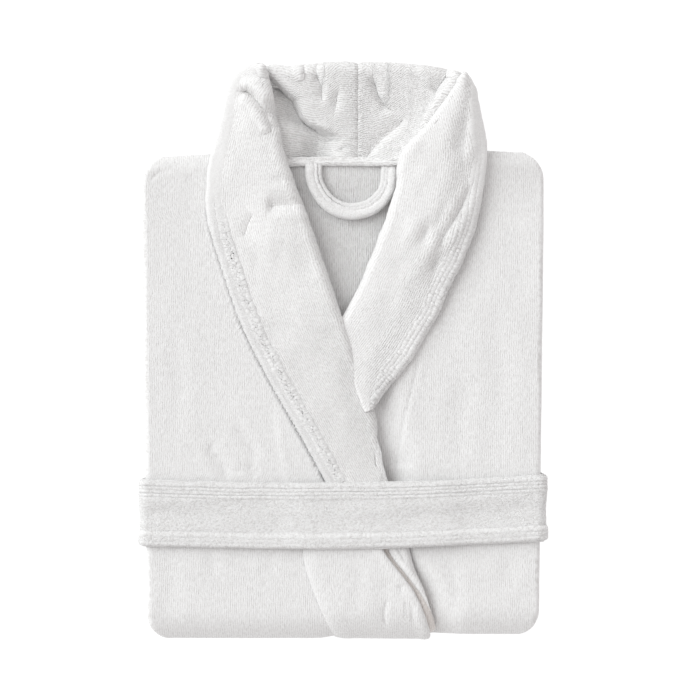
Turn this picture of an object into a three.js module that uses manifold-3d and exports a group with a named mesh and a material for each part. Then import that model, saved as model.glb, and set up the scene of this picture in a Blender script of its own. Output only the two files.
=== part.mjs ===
// Terry bathrobe with a shawl collar, folded face up for a shelf or a bed, its belt wound round it.
// Millimetres. +Z up, +Y towards the collar, origin on the table under the middle of the bundle.
// "Right" and "left" are the wearer's: the right front is on -X and laps over the left front.
import * as THREE from 'three';
import Module from 'manifold-3d';
import { mergeVertices } from 'three/addons/utils/BufferGeometryUtils.js';

const wasm = await Module();
wasm.setup();

// ---- driving dimensions ----
const GAP = 0.3; // clearance between neighbouring pieces
const PITCH = 8.85; // height that one loose ply of terry takes in the stack
const WALL = 9; // a ply where it turns round a side or the bottom fold
const SHOULDER_Y = 177; // shoulder line
const FOLD_Y = -251; // bottom fold
const TOP_HALF = 178.5; // half width at the shoulders
const BOTTOM_HALF = 173; // half width at the bottom fold
const LOWER_HALF = 168.5; // half width of the skirt leaf underneath
const HEM_Y = 156; // where the skirt leaf turns back under the shoulders
const RETURN_X = 66; // the turned-in sides end this far from the middle
const BELT_WIDTH = 57;
const BELT_THICK = 4.2;
const BELT_TOP = 62.5; // top face of the belt
const BELT_HALF = 180.2; // half width over the belt
const BELT_ROOM = 4.2; // height kept free under the bundle for the belt's lower run
const BELT_Y = -115.5; // upper edge of the belt at the middle
const LAPEL_TOP = 62;
const ROLL_TOP = 67;
const FACING_TOP = 57.6; // what the belt presses down
const BINDING = 17; // width of the stitched band along a lapel's free edge
const NECK_Y = 163; // lower edge of the neck tape
const LOOP_WIDTH = 14;
const LOOP_THICK = 7.6;
const SEAM_X = 13; // centre-back seam of the collar
const LOWER_EDGE_X = 77; // front edge on the skirt leaf
const SLEEVE_OUT = 150; // a sleeve leaves the armhole this far from the middle
const SLEEVE_LOW = 98; // lower edge of the armhole
const CUFF_Y = -150; // where the turned-back cuffs start on the sleeves
const CUFF_END = -228;
const BELT_LOOP = { in: 76, out: 86, low: -150, high: -90, thick: 2.6 };
const POCKET = { low: -102, high: 68, thick: 2.6, corner: 14 };
const FAR = 320; // cutting blocks reach past the robe
const HIGH = 90;
const DEEP = -5;
const TERRY = 0xe9e7e5;
const TERRY_SHADE = 0xdedad8;

const ply = (n) => n * PITCH; // underside of ply n, counted from the table
const plyTop = (n) => (n + 1) * PITCH - GAP;
const FRONT_TOP = plyTop(5);
const LAPEL_LOW = ply(6);

// ---- lines on the folded robe, as [x, y] ----
const RIGHT_ROLL = [
  [-68, 252], [-62, 215], [-57, 178], [-44, 145], [-32, 112], [-18, 70], [-6, 40], [4, 8],
  [15, -23], [26, -52], [33, -86], [40, -116], [37, -145], [33, -173], [53, -197], [70, -224], [78, -254],
];
const LEFT_ROLL = [[70, 252], [68, 215], [61, 172], [50, 140], [38, 108], [20, 62], [3, 28]];
const RIGHT_EDGE = [
  [-84, 249], [-95, 244], [-100, 234], [-107, 203], [-115, 172], [-119, 145], [-117.5, 112],
  [-106, 75], [-91, 29], [-69, -15], [-40, -67], [-12, -118],
];
const LEFT_EDGE = [
  [104, 246], [112, 241], [116.5, 226], [123, 195], [126.5, 176], [124, 155], [119, 125],
  [113, 100], [98, 65], [80, 28], [60, -6], [40, -31], [24, -52],
];
const RIGHT_HINGE = { low: [-14, -116], high: [-79, 251] };
const LEFT_HINGE = { low: [27, -50], high: [99, 248] };
const FACING_EDGE = [[-12, -118], [-30, -150], [-36, -176], [-29, -204], [-19, -229], [-8, -254]];
const UNDER_EDGE = [[62, -120], [57, -150], [58, -173], [66, -200], [76, -222], [82, -250]];

// ---- helpers ----
const spline = (points, steps = 4) => {
  const curve = new THREE.SplineCurve(points.map(([x, y]) => new THREE.Vector2(x, y)));
  return curve.getPoints((points.length - 1) * steps);
};
const vectors = (points) => points.map(([x, y]) => new THREE.Vector2(x, y));

function solid(geometry) {
  geometry.deleteAttribute('normal');
  geometry.deleteAttribute('uv');
  const merged = mergeVertices(geometry, 1e-4);
  return new wasm.Manifold(new wasm.Mesh({
    numProp: 3,
    vertProperties: new Float32Array(merged.attributes.position.array),
    triVerts: new Uint32Array(merged.index.array),
  }));
}

function geometryOf(body) {
  const mesh = body.getMesh();
  const geometry = new THREE.BufferGeometry();
  geometry.setAttribute('position', new THREE.BufferAttribute(new Float32Array(mesh.vertProperties), 3));
  geometry.setIndex(new THREE.BufferAttribute(new Uint32Array(mesh.triVerts), 1));
  geometry.computeVertexNormals();
  return geometry;
}

// A flat piece: an outline seen from above, between two heights, with soft edges where asked.
function slab(outline, low, high, round = 0) {
  const shape = outline instanceof THREE.Shape ? outline : new THREE.Shape(outline);
  const geometry = new THREE.ExtrudeGeometry(shape, {
    depth: high - low - 2 * round,
    bevelEnabled: round > 0,
    bevelThickness: round,
    bevelSize: round,
    bevelOffset: -round,
    bevelSegments: 4,
    curveSegments: 6,
  });
  geometry.translate(0, 0, low + round);
  return solid(geometry);
}

const box = (x0, x1, y0, y1, z0, z1) => slab(vectors([[x0, y0], [x1, y0], [x1, y1], [x0, y1]]), z0, z1);

// A piece with one profile in the Y-Z plane, running along X.
function alongX(profile, x0, x1) {
  const geometry = new THREE.ExtrudeGeometry(new THREE.Shape(profile), { depth: x1 - x0, bevelEnabled: false });
  const turn = new THREE.Matrix4().makeBasis(
    new THREE.Vector3(0, 1, 0), new THREE.Vector3(0, 0, 1), new THREE.Vector3(1, 0, 0));
  geometry.applyMatrix4(turn);
  geometry.translate(x0, 0, 0);
  return solid(geometry);
}

// A four-cornered outline with round corners, given counterclockwise from the lower left.
function roundedOutline(corners, radius) {
  const shape = new THREE.Shape();
  corners.forEach(([x, y], index) => {
    const corner = new THREE.Vector2(x, y);
    const before = new THREE.Vector2(...corners[(index + corners.length - 1) % corners.length]);
    const after = new THREE.Vector2(...corners[(index + 1) % corners.length]);
    const from = corner.clone().add(before.sub(corner).setLength(radius));
    const to = corner.clone().add(after.sub(corner).setLength(radius));
    if (index === 0) shape.moveTo(from.x, from.y);
    else shape.lineTo(from.x, from.y);
    shape.quadraticCurveTo(x, y, to.x, to.y);
  });
  shape.closePath();
  return shape;
}

const leafOutline = (inset, half = TOP_HALF, foot = BOTTOM_HALF, top = SHOULDER_Y) => roundedOutline([
  [-foot + inset, FOLD_Y + inset], [foot - inset, FOLD_Y + inset],
  [half - inset, top - inset], [-half + inset, top - inset],
], 28 - inset * 0.8);

// Everything on the -X side of a line drawn down the robe, moved sideways by an offset.
function leftOf(line, offset, low, high) {
  const edge = spline(line).map((p) => new THREE.Vector2(p.x + offset, p.y));
  edge.unshift(new THREE.Vector2(edge[0].x, FAR));
  edge.push(new THREE.Vector2(edge[edge.length - 1].x, -FAR));
  return slab([...edge, ...vectors([[-FAR, -FAR], [-FAR, FAR]])].reverse(), low, high);
}

const hingeLine = (hinge) => {
  const [x0, y0] = hinge.low;
  const [x1, y1] = hinge.high;
  const at = (y) => x0 + ((x1 - x0) * (y - y0)) / (y1 - y0);
  return [[at(300), 300], [at(0), 0], [at(-300), -300]];
};

function sideways(points, distance) {
  return points.map((p, index) => {
    const before = points[Math.max(index - 1, 0)];
    const after = points[Math.min(index + 1, points.length - 1)];
    const along = after.clone().sub(before).normalize();
    return new THREE.Vector2(p.x - along.y * distance, p.y + along.x * distance);
  });
}

// ---- the belt's own space ----
const beltEdge = (drop) => spline([[-190, 3], [-100, 0.5], [0, 0], [90, 2.5], [190, 7.5]], 3)
  .map((p) => new THREE.Vector2(p.x, BELT_Y + p.y - drop));
const belowBeltEdge = (drop) =>
  slab([...beltEdge(drop), ...vectors([[190, -FAR], [-190, -FAR]])].reverse(), DEEP, HIGH);
const beltPath = box(-FAR, FAR, -FAR, BELT_Y + 9, DEEP, BELT_ROOM);

// ---- body panels ----
function bundle() {
  const upper = slab(leafOutline(0), ply(3), FRONT_TOP, 11);
  const lower = slab(leafOutline(0, LOWER_HALF, LOWER_HALF, HEM_Y), 0, plyTop(2), 10);
  const bend = new THREE.Shape();
  bend.moveTo(FOLD_Y + 40, 0);
  bend.lineTo(FOLD_Y + 40, FRONT_TOP);
  bend.lineTo(FOLD_Y + 17, FRONT_TOP);
  bend.quadraticCurveTo(FOLD_Y, FRONT_TOP, FOLD_Y, FRONT_TOP - 19);
  bend.lineTo(FOLD_Y, 20);
  bend.quadraticCurveTo(FOLD_Y, 0, FOLD_Y + 17, 0);
  bend.closePath();
  const fold = alongX(bend.getPoints(6).reverse(), -LOWER_HALF, LOWER_HALF);
  return upper.add(lower).add(fold.intersect(slab(leafOutline(0), -1, FRONT_TOP + 1)));
}

// The space inside the turned sides and the fold, where the back panel and the sleeves lie.
function inside() {
  const back = slab(leafOutline(WALL), plyTop(3), ply(5));
  const tuck = slab(leafOutline(WALL, LOWER_HALF, LOWER_HALF, HEM_Y), plyTop(0), ply(2));
  const bend = box(-LOWER_HALF + WALL, LOWER_HALF - WALL, FOLD_Y + WALL, FOLD_Y + 2 * WALL, plyTop(0), ply(5));
  const middle = box(-RETURN_X, RETURN_X, FOLD_Y + WALL, SHOULDER_Y - WALL, plyTop(1), ply(4));
  return back.add(tuck).add(bend).add(middle);
}

function backPanel() {
  const upper = slab(leafOutline(WALL + GAP), ply(4), plyTop(4));
  const lower = slab(leafOutline(WALL + GAP, LOWER_HALF, LOWER_HALF, HEM_Y), ply(1), plyTop(1));
  const reach = LOWER_HALF - WALL - GAP;
  const bend = box(-reach, reach, FOLD_Y + WALL + GAP, FOLD_Y + 2 * WALL - GAP, ply(1), plyTop(4));
  const tuck = box(-RETURN_X + GAP, RETURN_X - GAP, FOLD_Y + WALL + GAP, HEM_Y - 20, ply(1), plyTop(2));
  return upper.add(lower).add(bend).add(tuck);
}

// Sleeves are folded behind the body: across from the armhole, then down the middle.
function sleeve(side) {
  const outline = vectors([
    [1, SHOULDER_Y - WALL - GAP], [SLEEVE_OUT, SHOULDER_Y - WALL - GAP], [SLEEVE_OUT, SLEEVE_LOW],
    [RETURN_X - GAP, 70], [RETURN_X - GAP, CUFF_Y], [1, CUFF_Y],
  ].map(([x, y]) => [x * side, y]));
  return slab(side > 0 ? outline.reverse() : outline, ply(3), plyTop(3));
}
const sleeveRoom = (side) => {
  const outline = vectors([
    [0, SHOULDER_Y - WALL], [SLEEVE_OUT + GAP, SHOULDER_Y - WALL], [SLEEVE_OUT + GAP, SLEEVE_LOW - 2 * GAP],
    [RETURN_X - GAP, 69], [0, 69],
  ].map(([x, y]) => [x * side, y]));
  return slab(side > 0 ? outline.reverse() : outline, ply(3) - 1, ply(4));
};
const cuff = (side) => {
  const [x0, x1] = side < 0 ? [-RETURN_X + GAP, -1] : [1, RETURN_X - GAP];
  return box(x0, x1, CUFF_END, CUFF_Y - GAP, ply(3), plyTop(3));
};

function beltLoopSpan(side, grow) {
  const ends = [side * BELT_LOOP.in, side * BELT_LOOP.out];
  return [Math.min(...ends) - grow, Math.max(...ends) + grow, BELT_LOOP.low - grow, BELT_LOOP.high + grow];
}
const beltLoop = (side) => box(...beltLoopSpan(side, 0), ply(3), ply(3) + BELT_LOOP.thick);
const beltLoopRoom = (side) => box(...beltLoopSpan(side, GAP), ply(3) - 1, ply(3) + BELT_LOOP.thick + GAP);

// Of the left pocket only the half on the skirt leaf's flat underside is a piece.
function pocketOutline(side, grow) {
  const [x0, x1] = side < 0 ? [-156 - grow, -16 + grow] : [88 - grow, 158 + grow];
  const low = POCKET.low - grow;
  const high = POCKET.high + grow;
  return roundedOutline([[x0, low], [x1, low], [x1, high], [x0, high]], POCKET.corner);
}
const pocket = (side) => slab(pocketOutline(side, 0), 0, POCKET.thick);
const pocketRoom = (side) => slab(pocketOutline(side, GAP), -1, POCKET.thick + GAP);

const neckNotch = box(-57, 60, NECK_Y, 210, plyTop(3), HIGH);
const underlap = slab(vectors([[6, 26], [-38, -40], [-44, -240], [90, -240], [60, -120], [45, -60]]),
  ply(5), ply(5) + PITCH / 2 - GAP);
const underlapRoom = slab(vectors([[7, 29], [-39, -39.4], [-45, -240.5], [90, -240.5], [60, -120], [45, -60]]),
  ply(5) - 1, ply(5) + PITCH / 2);

function frontPanels() {
  const shell = bundle().subtract(inside()).subtract(sleeveRoom(-1)).subtract(sleeveRoom(1))
    .subtract(neckNotch).subtract(beltPath).subtract(beltLoopRoom(-1)).subtract(beltLoopRoom(1));
  const split = ply(5) - 0.1;
  const lowerRight = box(-FAR, LOWER_EDGE_X - GAP, -FAR, FAR, DEEP, split);
  const rightSpace = leftOf(RIGHT_ROLL, -GAP, split, HIGH).add(lowerRight);
  const right = shell.intersect(rightSpace).subtract(underlapRoom).subtract(pocketRoom(-1));
  const belowNeck = box(-FAR, FAR, -FAR, 28, DEEP, HIGH);
  const neckSide = leftOf(LEFT_ROLL, 0, split, HIGH).subtract(belowNeck);
  const left = shell.subtract(leftOf(RIGHT_ROLL, GAP, split, HIGH)).subtract(neckSide)
    .subtract(box(-FAR, LOWER_EDGE_X, -FAR, FAR, DEEP, split))
    .add(underlap).subtract(pocketRoom(1));
  return { right, left };
}

// ---- collar ----
const collarRise = (y) => 4.2 * Math.sin(((Math.min(Math.max(y, 178), 256) - 178) / 78) * (Math.PI / 2));
function collarLayer(drop, thick) {
  const rows = [165, 178, 190, 202, 214, 226, 240, 256];
  const top = rows.map((y) => [y, plyTop(4) + collarRise(y) * 1.8 - drop]);
  const under = rows.map((y) => [y, plyTop(4) + collarRise(y) * 1.8 - drop - thick]).reverse();
  return alongX(vectors([...under, ...top].reverse()), -130, 130);
}
const COLLAR_RIGHT = [
  [SEAM_X - GAP / 2, 172], [SEAM_X - GAP / 2, 252.2], [6, 254], [-38, 253.2], [-62, 252.4], [-84, 248.5],
  [-95, 241], [-103, 212], [-108, 179], [-56.5, 179], [-56.5, 172],
];
const COLLAR_LEFT = [
  [SEAM_X + GAP / 2, 172], [59.5, 172], [59.5, 179], [120, 179], [118, 205], [114, 230], [107, 243],
  [94, 248.5], [70, 252], [28, 254], [SEAM_X + GAP / 2, 252.2],
];
const collarHalf = (outline) => {
  const points = vectors(outline);
  const flat = THREE.ShapeUtils.area(points) < 0 ? points.reverse() : points;
  return slab(flat, 20, 80).intersect(collarLayer(0, 8.2));
};
const underCollar = () => slab(roundedOutline([[-106, 179], [117, 179], [108, 248], [-94, 248]], 16), 5, 80)
  .intersect(collarLayer(8.2 + GAP, 8));

function neckTape() {
  const profile = new THREE.Shape();
  profile.moveTo(NECK_Y + GAP, plyTop(4) + GAP);
  profile.lineTo(NECK_Y + 8.4, plyTop(4) + GAP);
  profile.quadraticCurveTo(NECK_Y + 8.6, 50.6, NECK_Y + 4.4, 50.6);
  profile.quadraticCurveTo(NECK_Y + GAP, 50.6, NECK_Y + GAP, plyTop(4) + GAP);
  return alongX(profile.getPoints(6), -55.5, 58.5);
}

// A flat tube of terry, sewn in under the neck tape at both ends.
function hangerLoop() {
  const middle = [
    [-26, NECK_Y + 4], [-25.5, 153], [-21, 142], [-12, 131], [1, 124.6], [14, 124.2],
    [27, 129], [37, 139.5], [40.8, 152], [41, NECK_Y + 4],
  ];
  const height = plyTop(4) + 0.8 + LOOP_THICK / 2;
  const path = new THREE.CatmullRomCurve3(middle.map(([x, y]) => new THREE.Vector3(x, y, height)));
  const section = new THREE.Shape();
  section.absellipse(0, 0, LOOP_THICK / 2, LOOP_WIDTH / 2, 0, Math.PI * 2);
  const tube = new THREE.ExtrudeGeometry(new THREE.Shape(section.getPoints(10).slice(0, -1)), {
    steps: 32, extrudePath: path, bevelEnabled: false,
  });
  return solid(tube).subtract(box(-80, 80, NECK_Y, 190, 30, 80));
}

// ---- lapels and facings ----
function lapelArea(edge, roll, low, high, side) {
  const outer = spline(edge);
  const inner = spline(roll).filter((p) => p.y > outer[outer.length - 1].y - 2);
  const points = [...outer, ...inner.reverse()];
  const flat = THREE.ShapeUtils.area(points) < 0 ? points.reverse() : points;
  const clear = slab(flat, low, high).subtract(belowBeltEdge(-GAP));
  return side < 0 ? clear : clear.subtract(leftOf(RIGHT_ROLL, 1, 0, HIGH));
}

function lapelPieces(side) {
  const right = side < 0;
  const edge = right ? RIGHT_EDGE : LEFT_EDGE;
  const roll = right ? RIGHT_ROLL : LEFT_ROLL;
  const hinge = hingeLine(right ? RIGHT_HINGE : LEFT_HINGE);
  const outerSide = leftOf(hinge, right ? -GAP : GAP, 0, HIGH);
  const stripSide = leftOf(hinge, 0, 0, HIGH);
  const area = lapelArea(edge, roll, LAPEL_LOW, LAPEL_TOP, side);
  const flap = right ? area.intersect(outerSide) : area.subtract(outerSide);
  const tall = lapelArea(edge, roll, LAPEL_LOW, ROLL_TOP, side);
  const strip = right ? tall.subtract(stripSide) : tall.intersect(stripSide);
  const line = spline(edge);
  const inward = right ? 1 : -1;
  const band = (distance) => {
    const points = [...sideways(line, -inward * 3), ...sideways(line, inward * distance).reverse()];
    return slab(THREE.ShapeUtils.area(points) < 0 ? points.reverse() : points, 0, HIGH);
  };
  return {
    flap: flap.subtract(band(BINDING + GAP)),
    binding: flap.intersect(band(BINDING)),
    roll: strip,
  };
}

// Below the upper edge of the belt the facings run on to the bottom fold, pressed flat by the belt.
function frontFacing(side) {
  const right = side < 0;
  const outer = spline(right ? FACING_EDGE : UNDER_EDGE);
  const inner = spline(RIGHT_ROLL).filter((p) => p.y < BELT_Y + 1.5)
    .map((p) => new THREE.Vector2(p.x + (right ? 0 : 3), p.y));
  const points = [...outer, ...inner.reverse()];
  const flat = THREE.ShapeUtils.area(points) < 0 ? points.reverse() : points;
  const low = FRONT_TOP + GAP;
  const high = right ? FACING_TOP : low + 3;
  const foot = right ? FOLD_Y - 3 : FOLD_Y + 2;
  return slab(flat, low, high).intersect(belowBeltEdge(0.4)).intersect(box(-FAR, FAR, foot, 0, 0, HIGH));
}

// ---- belt ----
function beltRing() {
  const half = BELT_HALF;
  const ring = (inset, low, foot, head) => {
    const shape = new THREE.Shape();
    const x = half - inset;
    const high = BELT_TOP - inset;
    shape.moveTo(-x + foot, low);
    shape.lineTo(x - foot, low);
    shape.quadraticCurveTo(x, low, x, low + foot);
    shape.lineTo(x, high - head);
    shape.quadraticCurveTo(x, high, x - head, high);
    shape.lineTo(-x + head, high);
    shape.quadraticCurveTo(-x, high, -x, high - head);
    shape.lineTo(-x, low + foot);
    shape.quadraticCurveTo(-x, low, -x + foot, low);
    return shape.getPoints(8);
  };
  const tube = (points) => {
    const geometry = new THREE.ExtrudeGeometry(new THREE.Shape(points), { depth: 120, bevelEnabled: false });
    geometry.applyMatrix4(new THREE.Matrix4().makeBasis(
      new THREE.Vector3(1, 0, 0), new THREE.Vector3(0, 0, 1), new THREE.Vector3(0, -1, 0)));
    geometry.translate(0, BELT_Y + 30, 0);
    return solid(geometry);
  };
  const full = tube(ring(0, 0, 12, 24)).subtract(tube(ring(BELT_THICK, BELT_THICK - 0.4, 9, 20)));
  const run = [...beltEdge(0.5), ...beltEdge(BELT_WIDTH).reverse()];
  return full.intersect(slab(THREE.ShapeUtils.area(run) < 0 ? run.reverse() : run, DEEP, HIGH));
}

// ---- assembly ----
const group = new THREE.Group();
function addPiece(name, body, color = TERRY) {
  const material = new THREE.MeshStandardMaterial({ color, roughness: 0.95, metalness: 0 });
  const mesh = new THREE.Mesh(geometryOf(body), material);
  mesh.name = name;
  group.add(mesh);
}

const fronts = frontPanels();
const rightLapel = lapelPieces(-1);
const leftLapel = lapelPieces(1);

addPiece('back_panel', backPanel().subtract(beltPath), TERRY_SHADE);
addPiece('right_front_panel', fronts.right);
addPiece('left_front_panel', fronts.left);
addPiece('right_sleeve', sleeve(-1), TERRY_SHADE);
addPiece('left_sleeve', sleeve(1), TERRY_SHADE);
addPiece('right_cuff', cuff(-1));
addPiece('left_cuff', cuff(1));
addPiece('right_collar_half', collarHalf(COLLAR_RIGHT));
addPiece('left_collar_half', collarHalf(COLLAR_LEFT));
addPiece('under_collar', underCollar(), TERRY_SHADE);
addPiece('neck_tape', neckTape());
addPiece('hanger_loop', hangerLoop());
addPiece('right_lapel_roll', rightLapel.roll);
addPiece('right_lapel', rightLapel.flap);
addPiece('right_lapel_binding', rightLapel.binding);
addPiece('right_front_facing', frontFacing(-1));
addPiece('left_lapel_roll', leftLapel.roll);
addPiece('left_lapel', leftLapel.flap);
addPiece('left_lapel_binding', leftLapel.binding);
addPiece('left_front_facing', frontFacing(1));
addPiece('belt', beltRing());
addPiece('right_belt_loop', beltLoop(-1));
addPiece('left_belt_loop', beltLoop(1));
addPiece('right_pocket', pocket(-1));
addPiece('left_pocket', pocket(1));

export default group;
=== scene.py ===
# A folded terry bathrobe with a shawl collar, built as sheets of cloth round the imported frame.
# Working units are millimetres; meshes are written in metres. The frame has +Z up and +Y to the collar.
import math

import bpy
import numpy as np
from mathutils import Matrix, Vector


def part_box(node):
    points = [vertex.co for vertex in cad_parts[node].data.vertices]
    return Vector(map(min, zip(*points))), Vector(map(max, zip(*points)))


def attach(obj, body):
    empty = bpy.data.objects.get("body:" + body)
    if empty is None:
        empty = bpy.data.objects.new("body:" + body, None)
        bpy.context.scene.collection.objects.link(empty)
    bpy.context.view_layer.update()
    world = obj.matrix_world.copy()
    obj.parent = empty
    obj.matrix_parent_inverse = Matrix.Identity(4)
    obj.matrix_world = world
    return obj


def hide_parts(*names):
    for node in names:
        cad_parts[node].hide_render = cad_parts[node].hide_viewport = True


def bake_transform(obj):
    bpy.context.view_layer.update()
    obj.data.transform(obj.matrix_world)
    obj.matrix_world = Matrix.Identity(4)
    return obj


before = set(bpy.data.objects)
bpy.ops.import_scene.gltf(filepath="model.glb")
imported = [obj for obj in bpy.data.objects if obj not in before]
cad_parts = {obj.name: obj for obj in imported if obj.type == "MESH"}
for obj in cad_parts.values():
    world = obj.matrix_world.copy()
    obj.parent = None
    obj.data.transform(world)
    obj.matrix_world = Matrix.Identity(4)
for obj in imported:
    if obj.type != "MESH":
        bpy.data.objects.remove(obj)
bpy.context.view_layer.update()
MM = 0.001


# ---------------------------------------------------------------- small tools

def smooth(t):
    """0 below 0, 1 above 1, and an even slope between."""
    t = np.clip(t, 0.0, 1.0)
    return t * t * (3 - 2 * t)


def hump(distance, width):
    """A bell: 1 in the middle, and next to nothing beyond twice its width."""
    return np.exp(-((distance / width) ** 2))


def sided(side, piece):
    """The name of one piece of a pair: -1 is the wearer's right."""
    return ("right_" if side < 0 else "left_") + piece


def belongs(obj, slot, *nodes, body="robe"):
    """Say the body that a cloth rides on and the CAD nodes it takes the place of; the slot of its finish is
    not used.
    """
    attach(obj, body)
    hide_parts(*nodes)


def walked(points, axis):
    """How far along its row or column each place of a grid (x, y, z) lies."""
    steps = np.linalg.norm(np.diff(np.stack(points, -1), axis=axis), axis=2)
    return np.concatenate([0 * steps.take([0], axis), np.cumsum(steps, axis)], axis)


def node_arrays(node):
    """A CAD node's corners in millimetres and the pairs of corners that its edges join."""
    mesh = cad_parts[node].data
    corners = np.zeros(len(mesh.vertices) * 3)
    mesh.vertices.foreach_get("co", corners)
    pairs = np.zeros(len(mesh.edges) * 2, int)
    mesh.edges.foreach_get("vertices", pairs)
    return corners.reshape(-1, 3) / MM, pairs.reshape(-1, 2)


def reach(nodes, values, side, along=1, out=0):
    """The furthest point of some CAD nodes on one side, at each value along an axis."""
    best = np.full(len(values), -1e9)
    for node in nodes:
        corners, pairs = node_arrays(node)
        a, b = corners[pairs[:, 0]], corners[pairs[:, 1]]
        run = b[:, along] - a[:, along]
        run[np.abs(run) < 1e-9] = 1e-9
        t = (np.asarray(values)[:, None] - a[None, :, along]) / run[None, :]
        place = side * (a[None, :, out] + t * (b - a)[None, :, out])
        place[(t < 0) | (t > 1)] = -1e9
        best = np.maximum(best, place.max(axis=1))
    return side * best


def line_of(nodes, low, high, side, step=4.0, along=1, out=0, width=3):
    """An edge of some CAD nodes as a smooth function of the place along an axis."""
    at = np.arange(low, high + step / 2, step)
    found = reach(nodes, at, side, along, out)
    good = np.abs(found) < 1e6
    at, found = at[good], found[good]
    padded = np.pad(found, width, mode="reflect", reflect_type="odd")
    kernel = np.ones(2 * width + 1) / (2 * width + 1)
    found = np.convolve(padded, kernel, mode="valid") if width else found
    return lambda value: np.interp(value, at, found)


class Noise:
    """Smooth repeatable noise over two coordinates, about -1 to 1."""

    def __init__(self, seed):
        self.grid = np.random.default_rng(seed).normal(0, 0.55, (257, 257))

    def __call__(self, u, v, size_u, size_v=None):
        x = np.asarray(u) / size_u + 91.3
        y = np.asarray(v) / (size_v or size_u) + 57.7
        i, j = np.floor(x).astype(int), np.floor(y).astype(int)
        fx, fy = x - i, y - j
        fx, fy = fx * fx * (3 - 2 * fx), fy * fy * (3 - 2 * fy)
        i, j = i % 256, j % 256
        g = self.grid
        low = g[i, j] * (1 - fx) + g[i + 1, j] * fx
        high = g[i, j + 1] * (1 - fx) + g[i + 1, j + 1] * fx
        return low * (1 - fy) + high * fy


def rounded_path(points, count):
    """Evenly spaced points on a smooth curve through the given ones."""
    pts = np.array(points, float)
    padded = np.concatenate([2 * pts[:1] - pts[1:2], pts, 2 * pts[-1:] - pts[-2:-1]])
    found = []
    for a, b, c, d in zip(padded[:-3], padded[1:-2], padded[2:-1], padded[3:]):
        for t in np.linspace(0, 1, 24, endpoint=False):
            found.append(0.5 * (2 * b + (c - a) * t + (2 * a - 5 * b + 4 * c - d) * t**2
                                + (3 * b - a - 3 * c + d) * t**3))
    found = np.array(found + [pts[-1]])
    run = np.concatenate([[0], np.cumsum(np.linalg.norm(np.diff(found, axis=0), axis=1))])
    at = np.linspace(0, run[-1], count)
    return np.stack([np.interp(at, run, found[:, k]) for k in range(pts.shape[1])], 1), at


def along_line(x, y, points):
    """Distance from a bent line, the share of its length at the nearest point, and the signed side."""
    pts = np.asarray(points, float)
    lengths = np.linalg.norm(np.diff(pts, axis=0), axis=1)
    total = lengths.sum()
    best = np.full(np.shape(x), 1e9)
    share = np.zeros(np.shape(x))
    side = np.zeros(np.shape(x))
    start = 0.0
    for (ax, ay), (bx, by), length in zip(pts[:-1], pts[1:], lengths):
        dx, dy = (bx - ax) / length, (by - ay) / length
        t = np.clip((x - ax) * dx + (y - ay) * dy, 0, length)
        px, py = x - ax - t * dx, y - ay - t * dy
        d = np.hypot(px, py)
        near = d < best
        best = np.where(near, d, best)
        share = np.where(near, (start + t) / total, share)
        side = np.where(near, px * -dy + py * dx, side)
        start += length
    return best, share, side


def fading(share, fade):
    """1 along a line, falling to 0 over a share of its length at both ends."""
    return smooth(share / fade) * smooth((1 - share) / fade)


def crease(x, y, points, depth, width, fade=0.25):
    """A valley along a bent line: its depth fades towards both ends, and soft lips stand beside it."""
    distance, share, _ = along_line(x, y, points)
    r = distance / width
    return -depth * fading(share, fade) * (np.exp(-r * r) - 0.35 * np.exp(-((r - 1.9) ** 2)))


def ridge(x, y, points, height, width, fade=0.2):
    """A soft rise along a bent line."""
    distance, share, _ = along_line(x, y, points)
    return height * fading(share, fade) * hump(distance, width)


def pucker(x, y, points, height, steep, soft, fade=0.3):
    """A gathered fold: the cloth swells on the left of a bent line and drops to a valley along it."""
    _, share, side = along_line(x, y, rounded_path(points, 24)[0])
    drop = 0.5 + 0.5 * np.tanh(side / steep)
    swell = drop * hump(np.maximum(side, 0), soft)
    valley = (1 - drop) * hump(np.minimum(side, 0), 0.8 * soft)
    return height * fading(share, fade) * (0.75 * swell - 0.45 * valley)


def tuck(x, y, points, depth, soft, steep, fade=0.3):
    """A gathered fold: the cloth slopes down from the left of a bent line and swells up on its right."""
    _, share, side = along_line(x, y, rounded_path(points, 24)[0])
    left, right = np.maximum(side, 0), np.minimum(side, 0)
    valley = np.exp(-((left / soft) ** 2) - (right / steep) ** 2)
    swell = hump(right + 2.5 * steep + 3, 2.5 * steep + 4) * (1 - hump(right, steep))
    return depth * fading(share, fade) * (0.12 * swell - valley)


def step_across(x, y, points, height, width, fade=0.25):
    """The cloth on the left of a bent line stands higher than on its right, near the line."""
    distance, share, side = along_line(x, y, points)
    return height * fading(share, fade) * np.tanh(side / width) * hump(distance, 4 * width)


def bump_spot(x, y, cx, cy, rx, ry, height, turn=0.0):
    """A soft round or oval rise, or a dimple where the height is negative."""
    c, s = math.cos(turn), math.sin(turn)
    a = ((x - cx) * c + (y - cy) * s) / rx
    b = (-(x - cx) * s + (y - cy) * c) / ry
    return height * np.exp(-(a * a + b * b))


def waves(x, y, seed, *bands):
    """Soft unevenness: each band is a height, a shift, and the size of its waves both ways."""
    soft = Noise(seed)
    return sum(height * soft(x + shift, y, across, along) for height, shift, across, along in bands)


def stitched(z, place, lines, depth, width):
    """Rows of stitches: a narrow groove along each line, or a ridge where the depth is negative."""
    for line in lines:
        z = z - depth * hump(place - line, width)
    return z


def with_marks(z, x, y, marks):
    """The heights of a cloth with its creases, ridges and dents: each is a kind, a place and a shape."""
    for kind, *shape in marks:
        z = z + kind(x, y, *shape)
    return z


# ---------------------------------------------------------------- cloth meshes

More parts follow.
